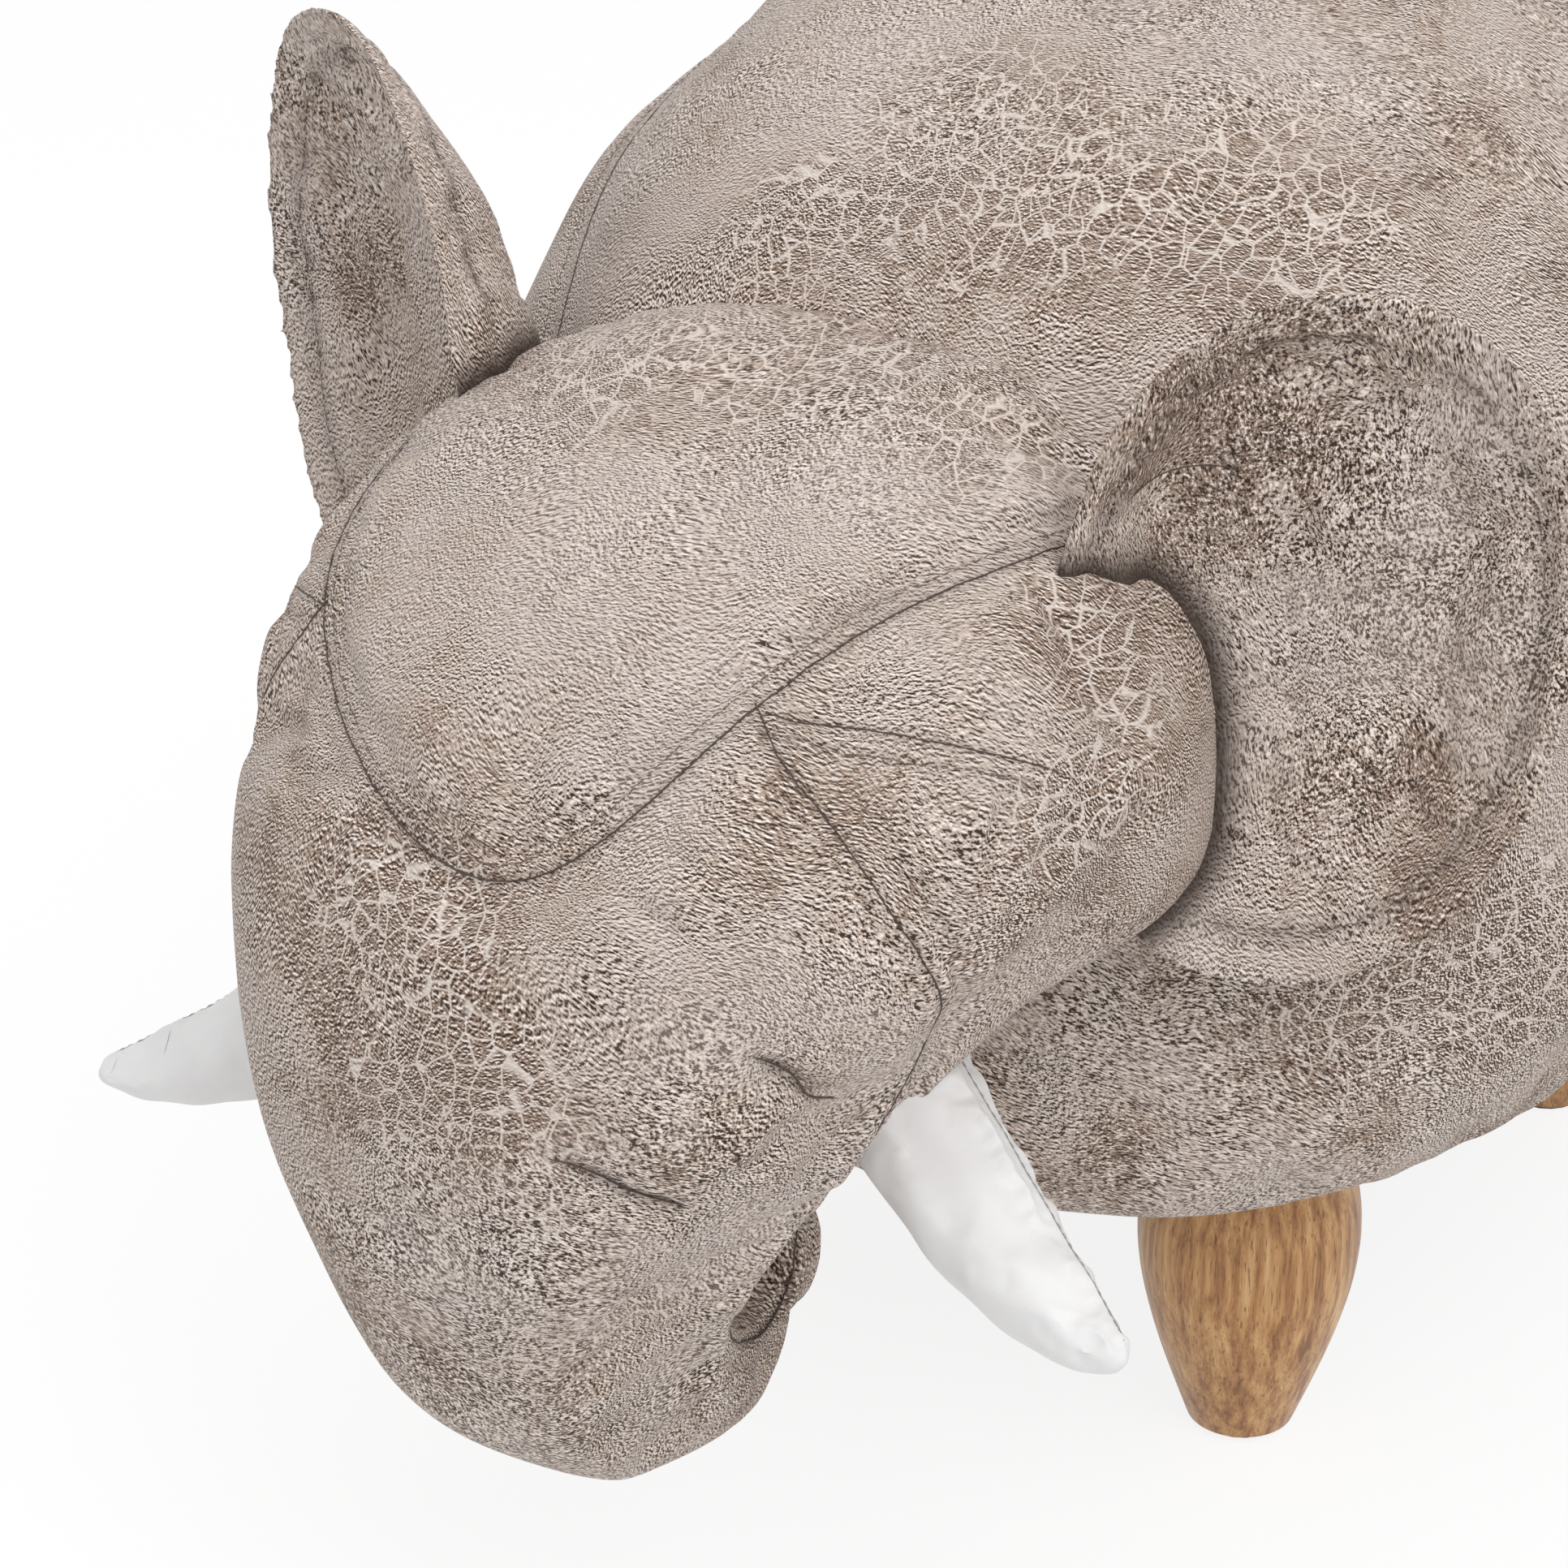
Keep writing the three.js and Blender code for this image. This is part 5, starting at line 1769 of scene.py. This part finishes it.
@dataclass
class Head:
    """The head's cover: crown, cheeks and trunk, with their seams, rows of stitches and pleats."""

    form: HeadForm = field(default_factory=HeadForm)
    stuffing: Stuffing = field(default_factory=lambda: Stuffing(voxel=3.2, ease=3.0, cap=6.0))
    crown_tip: float = 0.403
    crown_angle: float = 53.0
    crown_roundness: float = 0.6
    trunk_seam: tuple[tuple[float, float], ...] = (
        (0.315, 29.5), (0.329, 34.5), (0.346, 44.5), (0.364, 55), (0.387, 68), (0.412, 80), (0.44, 90),
        (0.48, 97), (0.54, 102), (0.62, 105), (0.72, 107.5), (0.85, 111), (0.985, 116),
    )
    dart: tuple[tuple[float, float], ...] = (
        (0.317, 22.0), (0.315, 28.0), (0.309, 36.0), (0.303, 44.0), (0.296, 53.0), (0.286, 66.0),
        (0.28, 76.0),
    )
    dart_topstitch: tuple[tuple[float, float], ...] = (
        (0.323, 23.0), (0.322, 34.0), (0.313, 45.0), (0.304, 56.0), (0.299, 66.0), (0.3, 76.0),
        (0.32, 85.0),
    )
    dart_swing: float = -14.0
    tusk_pleat: tuple[tuple[float, float], ...] = (
        (0.437, 42.0), (0.444, 50.0), (0.454, 60.0), (0.471, 74.0),
    )
    trunk_pleat: tuple[tuple[float, float], ...] = (
        (0.5, 18.0), (0.505, 26.0), (0.514, 36.0), (0.52, 43.0), (0.526, 60.0),
    )
    topstitch_gap: float = 6.5
    lean_from: float = 0.18
    lean_angle: float = -9.5
    rings: int = 110
    columns: int = 120

    def line(
        self, kind: LineKind, corners: Sequence[tuple[float, float]], **details: object
    ) -> SewnLine:
        """A line through given places on the head.

        Args:
            kind: What the line is.
            corners: Shares of the way to the trunk's tip, and angles in degrees.
            **details: Other fields of the line.

        Returns:
            The line.
        """
        rows = smooth_line(corners)
        return SewnLine(kind, Origin.place(self.form.points(rows[:, 0], rows[:, 1])), **details)

    def seam_lean(self, share: Array) -> Array:
        """The sideways swing of the seams, which follows the lean of the trunk."""
        way = np.clip((share - self.lean_from) / (self.crown_tip - self.lean_from), 0.0, 1.0)
        return self.lean_angle * np.sin(math.pi * way)

    def crown_line(self, inset: float, kind: LineKind) -> SewnLine:
        """The crown's edge or the row of stitches inside it.

        Args:
            inset: How much nearer the middle than the edge, in millimetres at the crown's widest.
            kind: What the line is.

        Returns:
            The line, from the left ear round the tip to the right ear.
        """
        tip = self.crown_tip - inset * 0.0013
        angle = self.crown_angle - inset * 0.55
        way = np.linspace(-1.0, 1.0, 121)
        share = tip * (1 - np.abs(way) ** 2.2)
        edge = angle * np.maximum(0.0, 1 - (share / tip) ** 2) ** self.crown_roundness
        spots = self.form.points(share, self.seam_lean(share) + np.sign(way) * edge)
        return SewnLine(kind, Origin.place(spots))

    def trunk_line(self, side: int) -> SewnLine:
        """The seam between the trunk's front and its cheek and gusset.

        Args:
            side: 1 on the animal's left, -1 on its right.

        Returns:
            The seam.
        """
        rows = smooth_line(self.trunk_seam)
        share, edge = rows[:, 0], rows[:, 1]
        spots = self.form.points(share, self.seam_lean(share) + side * edge)
        return SewnLine(LineKind.SEAM, Origin.place(spots))

    def lines(self) -> list[SewnLine]:
        """All sewn lines and folds of the head.

        Returns:
            The crown's and the trunk's seams, the darts of the cheeks and the two pleats.
        """
        seam, row, fold = LineKind.SEAM, LineKind.TOPSTITCH, LineKind.FOLD
        made = [self.crown_line(0.0, seam), self.crown_line(self.topstitch_gap, row)]
        made += [self.trunk_line(1), self.trunk_line(-1)]
        for side in (1, -1):
            swing = 0.0 if side > 0 else self.dart_swing
            dart = [(share, side * angle + swing) for share, angle in self.dart]
            beside = [(share, side * angle + swing) for share, angle in self.dart_topstitch]
            made.append(self.line(seam, dart, fades=(False, True), strength=0.8))
            made.append(self.line(row, beside, fades=(False, True)))
        made.append(self.line(fold, self.tusk_pleat, fades=(True, False), strength=1.0))
        made.append(self.line(fold, self.trunk_pleat, fades=(True, True), strength=0.9))
        return made

    def held_inside(self, places: Array) -> Array:
        """The neck is held by the block inside the body."""
        behind = (places[:, 1] - Origin.offset[1]) / MM
        return smooth_step(behind, self.form.neck_y - 40.0, self.form.neck_y)

    def build(self) -> None:
        """Builds the head's cover, its thread and its seams."""
        share = np.linspace(0.0, 0.9995, self.rings)[:, None]
        angle = np.linspace(-180.0, 180.0, self.columns, endpoint=False)[None, :]
        cover = lofted("head_cover", self.form.points(*np.broadcast_arrays(share, angle)))
        lines = self.lines()
        self.stuffing.fill(cover, lines, self.held_inside)
        places = places_of(cover)
        uneven = Unevenness(size=48.0, height=0.7, seed=11)
        set_places(cover, places + normals_of(cover) * uneven.at(places)[:, None])
        finish_cover(
            cover, lines, HEAD_HIDE,
            ("crown_panel", "left_upper_cheek", "right_upper_cheek", "left_lower_cheek", "right_lower_cheek",
             "trunk_panel", "trunk_gusset", "head_stuffing", "trunk_stuffing"),
        )


@dataclass(frozen=True)
class EarForm:
    """One cupped ear. Sizes in millimetres, turn in degrees."""

    side: int
    outward: float
    turn: float
    cup: float
    lift: float
    roll: float
    width: float = 120.0
    height: float = 174.0
    root: tuple[float, float, float] = (95.0, -231.0, 325.0)
    lower: float = 32.0
    fullness: float = 2.2
    front_padding: float = 5.0
    back_padding: float = 11.0
    thinning: float = 0.9
    flatness: float = 4.0
    rim: float = 2.4

    def points(self, reach: Array, around: Array, ahead: Array) -> Array:
        """Points of the ear.

        Args:
            reach: 0 at the middle and 1 at the rim.
            around: 0 to 1 once round the rim, from its outer side up.
            ahead: How far in front of the middle layer, in millimetres.

        Returns:
            The points in millimetres.
        """
        a, roll = 2 * math.pi * around, math.radians(self.roll)
        across = reach * self.width / 2 * signed_power(np.cos(a), self.fullness)
        along = reach * self.height / 2 * signed_power(np.sin(a), self.fullness)
        out = self.outward + across * math.cos(roll) + along * math.sin(roll)
        up = self.lift - self.lower - across * math.sin(roll) + along * math.cos(roll)
        forward = ahead - self.cup * (1 - reach**2)
        t = math.radians(self.turn)
        return np.stack([
            self.side * (self.root[0] + out * math.cos(t) + forward * math.sin(t)),
            self.root[1] + out * math.sin(t) - forward * math.cos(t),
            self.root[2] + up,
        ], axis=-1)

    def face(self, reach: Array, around: Array, facing: int) -> Array:
        """Points on one face of the padded ear.

        Args:
            reach: The way from the middle, 0, to the rim, 1.
            around: The way round the rim, 0 to 1.
            facing: 1 for the front, -1 for the back.

        Returns:
            The points in millimetres.
        """
        height = reach * signed_power(np.sin(2 * math.pi * around), self.fullness)
        padding = self.front_padding if facing > 0 else self.back_padding * (1 - self.thinning * height)
        thick = self.rim + (padding - self.rim) * (1 - reach**self.flatness)
        return self.points(reach, around, facing * thick)


@dataclass
class Ear:
    """An ear of two panels, sewn at the rim and stitched through beside it."""

    name: str
    form: EarForm
    finish: Hide
    fold: tuple[tuple[float, float], ...] = ()
    stuffing: Stuffing = field(
        default_factory=lambda: Stuffing(voxel=1.5, ease=1.0, cap=2.6, growth=0.006, held=4.0)
    )
    flange: float = 7.0
    rim_reach: float = 1.008
    rim_share: float = 0.75
    ring_points: int = 181

    def ring(self, reach: float, facing: int) -> Array:
        """A line round one face of the ear at a share of the way to the rim."""
        around = np.linspace(0.0, 1.0, self.ring_points)
        return Origin.place(self.form.face(np.full(self.ring_points, reach), around, facing))

    def lines(self) -> list[SewnLine]:
        """The ear's sewn lines.

        Returns:
            The rim's seam, a row of stitches on each face and the fold, where the ear has one.
        """
        count = self.ring_points
        around = np.linspace(0.0, 1.0, count)
        thick = np.full(count, self.form.rim * self.rim_share)
        rim = self.form.points(np.full(count, self.rim_reach), around, thick)
        inner = 1 - 2 * self.flange / self.form.width
        made = [
            SewnLine(LineKind.SEAM, Origin.place(rim), strength=0.25, stitched=False),
            SewnLine(LineKind.TOPSTITCH, self.ring(inner, 1), strength=1.3),
            SewnLine(LineKind.TOPSTITCH, self.ring(inner, -1), strength=1.1),
        ]
        if self.fold:
            rows = smooth_line(self.fold)
            spots = self.form.face(rows[:, 0], rows[:, 1], 1)
            made.append(SewnLine(LineKind.FOLD, Origin.place(spots), fades=(True, True), strength=0.6))
        return made

    def build(self) -> None:
        """Builds the ear's cover, its thread and its seams."""
        around = np.linspace(0.0, 1.0, 120, endpoint=False)[None, :]
        front = np.linspace(0.02, 1.0, 26)[:, None]
        edge = np.linspace(0.25, 0.75, 5)[:, None]
        back = np.linspace(1.0, 0.02, 26)[:, None]
        over = self.form.rim * np.sin(math.pi * edge)
        rim = self.form.points(
            *np.broadcast_arrays(
                1 + 2 * over / self.form.width, around, self.form.rim * np.cos(math.pi * edge)
            )
        )
        grid = np.concatenate([
            self.form.face(*np.broadcast_arrays(front, around), 1),
            rim,
            self.form.face(*np.broadcast_arrays(back, around), -1),
        ])
        cover = lofted(self.name + "_cover", grid)
        lines = self.lines()
        self.stuffing.fill(cover, lines)
        apply_modifier(cover, "SMOOTH", factor=0.5, iterations=10)
        places = places_of(cover)
        uneven = Unevenness(size=26.0, height=0.55, seed=17 + self.form.side)
        set_places(cover, places + normals_of(cover) * uneven.at(places)[:, None])
        finish_cover(cover, lines, self.finish, (self.name + "_front", self.name + "_back"))
        # Painted shade on the ear where it lies against the head.
        shade_against(cover, bpy.data.objects["head_cover"])


@dataclass
class Tusk:
    """A stuffed white horn with a seam along its upper outer edge. Sizes in millimetres."""

    name: str
    side: int
    outward: float
    above: float
    swing: float
    lift: float
    seam_angle: float
    radius: float = 19.0
    length: float = 98.0
    taper: float = 0.78
    slimming: float = 2.2
    tip: float = 5.0
    root: tuple[float, float, float] = (78.0, -275.0, 182.0)
    path: tuple[tuple[float, float, float], ...] = (
        (-0.2, -0.12, 0.14), (0.2, 0.01, -0.22), (0.51, 0.14, -0.32), (0.755, 0.22, -0.29),
    )
    creases: tuple[tuple[float, float], ...] = ((0.72, 20.0), (0.84, -30.0), (0.9, 40.0))
    crease_climb: float = 0.03
    crease_turn: float = 75.0
    stuffing: Stuffing = field(
        default_factory=lambda: Stuffing(voxel=2.0, ease=1.0, cap=1.6, growth=0.02, held=1.5)
    )

    def points(self, share: Array, angle: Array) -> Array:
        """Points of the tusk.

        Args:
            share: The way from the root, 0, to the tip, 1.
            angle: Degrees round the tusk, 0 to its side and 90 up.

        Returns:
            The points in millimetres.
        """
        poles = np.array([
            (
                self.side * (self.root[0] + self.outward + out * self.length + self.swing * i / 3),
                self.root[1] - forward * self.length,
                self.root[2] + self.above + up * self.length + self.lift * i / 3,
            )
            for i, (out, forward, up) in enumerate(self.path)
        ])
        s = np.asarray(share, float)[..., None]
        p0, p1, p2, p3 = poles
        centre = (1 - s) ** 3 * p0 + 3 * (1 - s) ** 2 * s * p1 + 3 * (1 - s) * s**2 * p2 + s**3 * p3
        along = 3 * (1 - s) ** 2 * (p1 - p0) + 6 * (1 - s) * s * (p2 - p1) + 3 * s**2 * (p3 - p2)
        along /= np.linalg.norm(along, axis=-1, keepdims=True)
        level = np.cross(np.array([0.0, 0.0, 1.0]), along)
        level /= np.linalg.norm(level, axis=-1, keepdims=True)
        upward = np.cross(along, level)
        start = 1 - self.tip / self.length
        past = np.clip((share - start) / (1 - start), 0.0, 1.0)
        radius = self.radius * (1 - self.taper * share**self.slimming) * np.sqrt(1 - past**2)
        a = np.radians(angle)
        return centre + (radius * np.cos(a))[..., None] * level + (radius * np.sin(a))[..., None] * upward

    def lines(self) -> list[SewnLine]:
        """The tusk's sewn lines.

        Returns:
            Its seam and the small creases near its tip.
        """
        share = np.linspace(0.05, 0.985, 60)
        spots = self.points(share, np.full(60, self.seam_angle))
        made = [SewnLine(LineKind.SEAM, Origin.place(spots), strength=0.6)]
        for at, start in self.creases:
            first = self.seam_angle - start
            angle = np.linspace(first, first - self.crease_turn, 14)
            crease = self.points(np.linspace(at, at + self.crease_climb, 14), angle)
            made.append(
                SewnLine(LineKind.FOLD, Origin.place(crease), fades=(True, True), strength=0.22)
            )
        return made

    def build(self) -> None:
        """Builds the tusk's cover and its thread."""
        share = np.linspace(0.0, 0.9995, 60)[:, None]
        angle = np.linspace(0.0, 360.0, 48, endpoint=False)[None, :]
        cover = lofted(self.name + "_cover", self.points(*np.broadcast_arrays(share, angle)))
        lines = self.lines()
        self.stuffing.fill(cover, lines)
        places = places_of(cover)
        uneven = Unevenness(size=14.0, height=0.35, seed=29 + self.side)
        set_places(cover, places + normals_of(cover) * uneven.at(places)[:, None])
        finish_cover(
            cover, lines, TuskLeather(), (self.name,), thread=TUSK_THREAD
        )


# Legs and what else is rigid


@dataclass(frozen=True)
class TurnedLeg:
    """A barrel-shaped turned leg. Sizes in millimetres."""

    foot_radius: float = 15.4
    belly_radius: float = 31.0
    belly_height: float = 64.0
    top_radius: float = 25.0
    arris: float = 1.2
    sides: int = 64

    def profile(self, foot: float, top: float) -> list[tuple[float, float]]:
        """Radius and height of each ring from the foot to the top.

        Args:
            foot: Height of the foot.
            top: Height of the top.

        Returns:
            The rings, all in millimetres.
        """

        def between(a: float, b: float, share: float) -> float:
            """A value between two others."""
            return a + (b - a) * share

        poles = [
            (self.foot_radius, foot + self.arris),
            (between(self.foot_radius, self.belly_radius, 0.47), between(foot, self.belly_height, 0.34)),
            (self.belly_radius, between(foot, self.belly_height, 0.69)),
            (self.belly_radius, self.belly_height),
        ]
        rings = [
            (self.foot_radius - self.arris, foot),
            (self.foot_radius - 0.3 * self.arris, foot + 0.3 * self.arris),
        ]
        for s in np.linspace(0.0, 1.0, 15):
            weights = ((1 - s) ** 3, 3 * (1 - s) ** 2 * s, 3 * (1 - s) * s**2, s**3)
            rings.append(tuple(sum(w * p[k] for w, p in zip(weights, poles)) for k in (0, 1)))
        bend = (self.belly_radius, between(self.belly_height, top, 0.55))
        for s in np.linspace(0.0, 1.0, 8)[1:]:
            weights = ((1 - s) ** 2, 2 * (1 - s) * s, s**2)
            corners = (poles[3], bend, (self.top_radius, top))
            rings.append(tuple(sum(w * p[k] for w, p in zip(weights, corners)) for k in (0, 1)))
        return rings

    def build(self, node: str) -> None:
        """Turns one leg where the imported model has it.

        Args:
            node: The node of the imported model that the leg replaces.
        """
        low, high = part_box(node)
        rings = self.profile(low.z / MM, high.z / MM)
        bpy.ops.object.select_all(action="DESELECT")
        centre = ((low.x + high.x) / 2, (low.y + high.y) / 2, low.z)
        bpy.ops.mesh.primitive_circle_add(
            vertices=self.sides, radius=rings[0][0] * MM, fill_type="NGON", location=centre
        )
        leg = bpy.context.object
        leg.name = node.replace("_leg", "_turned_leg")
        bpy.ops.object.mode_set(mode="EDIT")
        bpy.ops.mesh.select_all(action="SELECT")
        for (r0, z0), (r1, z1) in zip(rings[:-1], rings[1:]):
            bpy.ops.mesh.extrude_region_move(TRANSFORM_OT_translate={"value": (0, 0, (z1 - z0) * MM)})
            bpy.ops.transform.resize(
                value=(r1 / r0, r1 / r0, 1.0), center_override=(centre[0], centre[1], z1 * MM)
            )
        bpy.ops.object.mode_set(mode="OBJECT")
        bpy.ops.object.transform_apply(location=True, rotation=True, scale=True)
        face_outward(leg)
        bpy.ops.object.shade_smooth_by_angle(angle=math.radians(40))
        dress(leg, TurnedOak().material())
        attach(leg, "root")
        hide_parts(node)
        LOG.info("%s has %d faces", leg.name, len(leg.data.polygons))


@dataclass(frozen=True)
class Tail:
    """The hanging tail and its tuft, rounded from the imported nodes."""

    finish: Hide

    def build(self) -> None:
        """Builds both pieces from copies of their nodes."""
        for node, fullness in (("tail", 0.7), ("tail_tuft", 0.5)):
            source = frame["nodes"][node]
            cover = source.copy()
            cover.data = source.data.copy()
            cover.parent = None
            cover.name = node + "_cover"
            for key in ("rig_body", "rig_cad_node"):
                if key in cover:
                    del cover[key]
            bpy.context.scene.collection.objects.link(cover)
            face_outward(cover)
            apply_modifier(cover, "REMESH", mode="VOXEL", voxel_size=1.8 * MM)
            keep_largest(cover)
            apply_modifier(cover, "SMOOTH", factor=0.5, iterations=12)
            places = places_of(cover)
            uneven = Unevenness(size=12.0, height=0.35, seed=41)
            set_places(cover, places + normals_of(cover) * (uneven.at(places) + 0.5 * MM)[:, None])
            apply_modifier(cover, "SUBSURF", levels=1, render_levels=1)
            shade_smooth(cover)
            set_attribute(cover, "seam_distance", np.full(len(cover.data.vertices), 40.0))
            print_zones(cover)
            dress(cover, self.finish.material())
            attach(cover, "root")
            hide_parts(node)


@dataclass(frozen=True)
class Carcass:
    """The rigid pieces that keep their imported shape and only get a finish."""

    def build(self) -> None:
        """Dresses each node by the slot that the record names for it."""
        finishes = {
            "plywood": Birch(),
            "zinc": Zinc(),
            "felt": Fibre("pressed wool felt", "#6b5646", "#866f5c"),
            "lining": Fibre("black spun non-woven", "#1d1d1e", "#2f2f31", 0.8),
            "foam": Fibre("cut polyether foam", "#d8cfae", "#c7bd98", 1.2),
            "stuffing": Fibre("polyester fibre filling", "#e9e7e1", "#d5d2ca", 1.5),
            "hide": BODY_HIDE,
            "tusk_leather": TuskLeather(),
            "leg_wood": TurnedOak(),
        }
        for entry in frame["record"]["subparts"]:
            dress(frame["nodes"][entry["node"]], finishes[entry["material_slot"]].material())


# Studio


@dataclass(frozen=True)
class Lamp:
    """A soft rectangular lamp aimed at the middle of the stool.

    Attributes:
        azimuth: Where it stands, in degrees as the camera's.
        elevation: How high it stands, in degrees.
        distance: Metres from the middle.
        size: Width in metres.
        level: The share of a colour's own brightness that it adds where it falls square.
    """

    name: str
    azimuth: float
    elevation: float
    distance: float
    size: float
    level: float

    def build(self, target: Vector) -> None:
        """Puts the lamp in place.

        Args:
            target: The place that it points at, in metres.
        """
        a, e = math.radians(self.azimuth), math.radians(self.elevation)
        away = Vector((math.sin(a) * math.cos(e), -math.cos(a) * math.cos(e), math.sin(e)))
        light = bpy.data.lights.new(self.name, "AREA")
        light.size = self.size
        light.energy = self.level * math.pi**2 * self.distance**2
        lamp = bpy.data.objects.new(self.name, light)
        lamp.location = target + away * self.distance
        lamp.rotation_euler = away.to_track_quat("Z", "Y").to_euler()
        bpy.context.scene.collection.objects.link(lamp)


@dataclass(frozen=True)
class Studio:
    """A white floor, even light and the photograph's camera."""

    world_level: float = 0.62
    floor_size: float = 8.0
    lamps: tuple[Lamp, ...] = (
        Lamp("key softbox", 62.0, 48.0, 2.2, 1.3, 0.34),
        Lamp("top softbox", -20.0, 78.0, 2.2, 1.8, 0.26),
    )
    camera_place: tuple[float, float, float] = (561.403, -1115.506, 766.0)
    azimuth: float = 32.0
    elevation: float = 27.0
    lens: float = 108.07
    sensor: float = 36.0

    def build(self) -> None:
        """Sets up the camera, the world, the lamps and the floor."""
        self._camera()
        self._world()
        target = Vector((0.0, -0.1, 0.25))
        for lamp in self.lamps:
            lamp.build(target)
        self._floor()
        bpy.context.scene.view_settings.view_transform = "Standard"

    def _camera(self) -> None:
        """Puts the camera where the photograph was taken."""
        data = bpy.data.cameras.new("camera")
        data.lens = self.lens
        data.sensor_width = self.sensor
        data.sensor_fit = "HORIZONTAL"
        camera = bpy.data.objects.new("camera", data)
        camera.location = Origin.place(np.array(self.camera_place))
        camera.rotation_euler = (math.radians(90 - self.elevation), 0.0, math.radians(self.azimuth))
        bpy.context.scene.collection.objects.link(camera)
        bpy.context.scene.camera = camera

    @staticmethod
    def _seen_directly(tree: bpy.types.NodeTree) -> Socket:
        """Tells which rays see the white room.

        Args:
            tree: The node tree of the room or the floor.

        Returns:
            1 where a ray comes from the camera, a reflection or through glass.
        """
        path = add_node(tree, "ShaderNodeLightPath")
        seen = path.outputs["Is Camera Ray"]
        for name in ("Is Glossy Ray", "Is Transmission Ray"):
            seen = add_node(
                tree, "ShaderNodeMath", {"operation": "MAXIMUM"}, {0: seen, 1: path.outputs[name]}
            ).outputs[0]
        return seen

    def _world(self) -> None:
        """An even white room, seen as pure white."""
        world = bpy.data.worlds.new("white room")
        world.use_nodes = True
        tree = world.node_tree
        tree.nodes.clear()
        lit = add_node(tree, "ShaderNodeBackground", {"Strength": self.world_level})
        white = add_node(tree, "ShaderNodeBackground", {"Strength": 1.0})
        mixed = add_node(
            tree,
            "ShaderNodeMixShader",
            links={0: self._seen_directly(tree), 1: lit.outputs[0], 2: white.outputs[0]},
        )
        for background in (lit, white):
            background.inputs["Color"].default_value = srgb("#ffffff")
        add_node(tree, "ShaderNodeOutputWorld", links={"Surface": mixed.outputs[0]})
        bpy.context.scene.world = world

    def _floor(self) -> None:
        """A white floor that keeps a faint shadow."""
        half = self.floor_size / 2
        corners = np.array([(-half, -half, 0), (half, -half, 0), (half, half, 0), (-half, half, 0)])
        floor = new_object("floor", corners, [(0, 1, 2, 3)])
        material = bpy.data.materials.new("white paper floor")
        material.use_nodes = True
        tree = material.node_tree
        tree.nodes.clear()
        paper = add_node(tree, "ShaderNodeBsdfDiffuse", {"Color": srgb("#f4f4f4")})
        glow = add_node(tree, "ShaderNodeEmission", {"Color": srgb("#ffffff"), "Strength": 1.05})
        share = add_node(
            tree, "ShaderNodeMath", {"operation": "MULTIPLY", 1: 0.82}, {0: self._seen_directly(tree)}
        )
        mixed = add_node(
            tree, "ShaderNodeMixShader", links={0: share.outputs[0], 1: paper.outputs[0], 2: glow.outputs[0]}
        )
        add_node(tree, "ShaderNodeOutputMaterial", links={"Surface": mixed.outputs[0]})
        dress(floor, material)


def main() -> None:
    """Builds the studio and every sub-assembly of the stool."""
    logging.basicConfig(level=logging.INFO, format="%(name)s: %(message)s")
    Studio().build()
    Carcass().build()
    Body().build()
    Head().build()
    Ear(
        "left_ear", EarForm(side=1, outward=50.0, turn=30.0, cup=24.0, lift=1.0, roll=6.0), LEFT_EAR_HIDE,
        fold=((0.95, 0.46), (0.83, 0.44), (0.68, 0.4), (0.52, 0.35), (0.42, 0.29)),
    ).build()
    Ear(
        "right_ear", EarForm(side=-1, outward=40.0, turn=31.0, cup=31.0, lift=20.0, roll=15.0), RIGHT_EAR_HIDE
    ).build()
    Tusk("left_tusk", 1, outward=-5.0, above=-2.0, swing=-2.0, lift=-2.0, seam_angle=60.0).build()
    Tusk("right_tusk", -1, outward=0.0, above=1.0, swing=15.0, lift=-24.0, seam_angle=120.0).build()
    Tail(LEFT_EAR_HIDE).build()
    leg = TurnedLeg()
    for end in ("front", "rear"):
        for side in ("left", "right"):
            leg.build(f"{end}_{side}_leg")


if __name__ == "__main__":
    main()
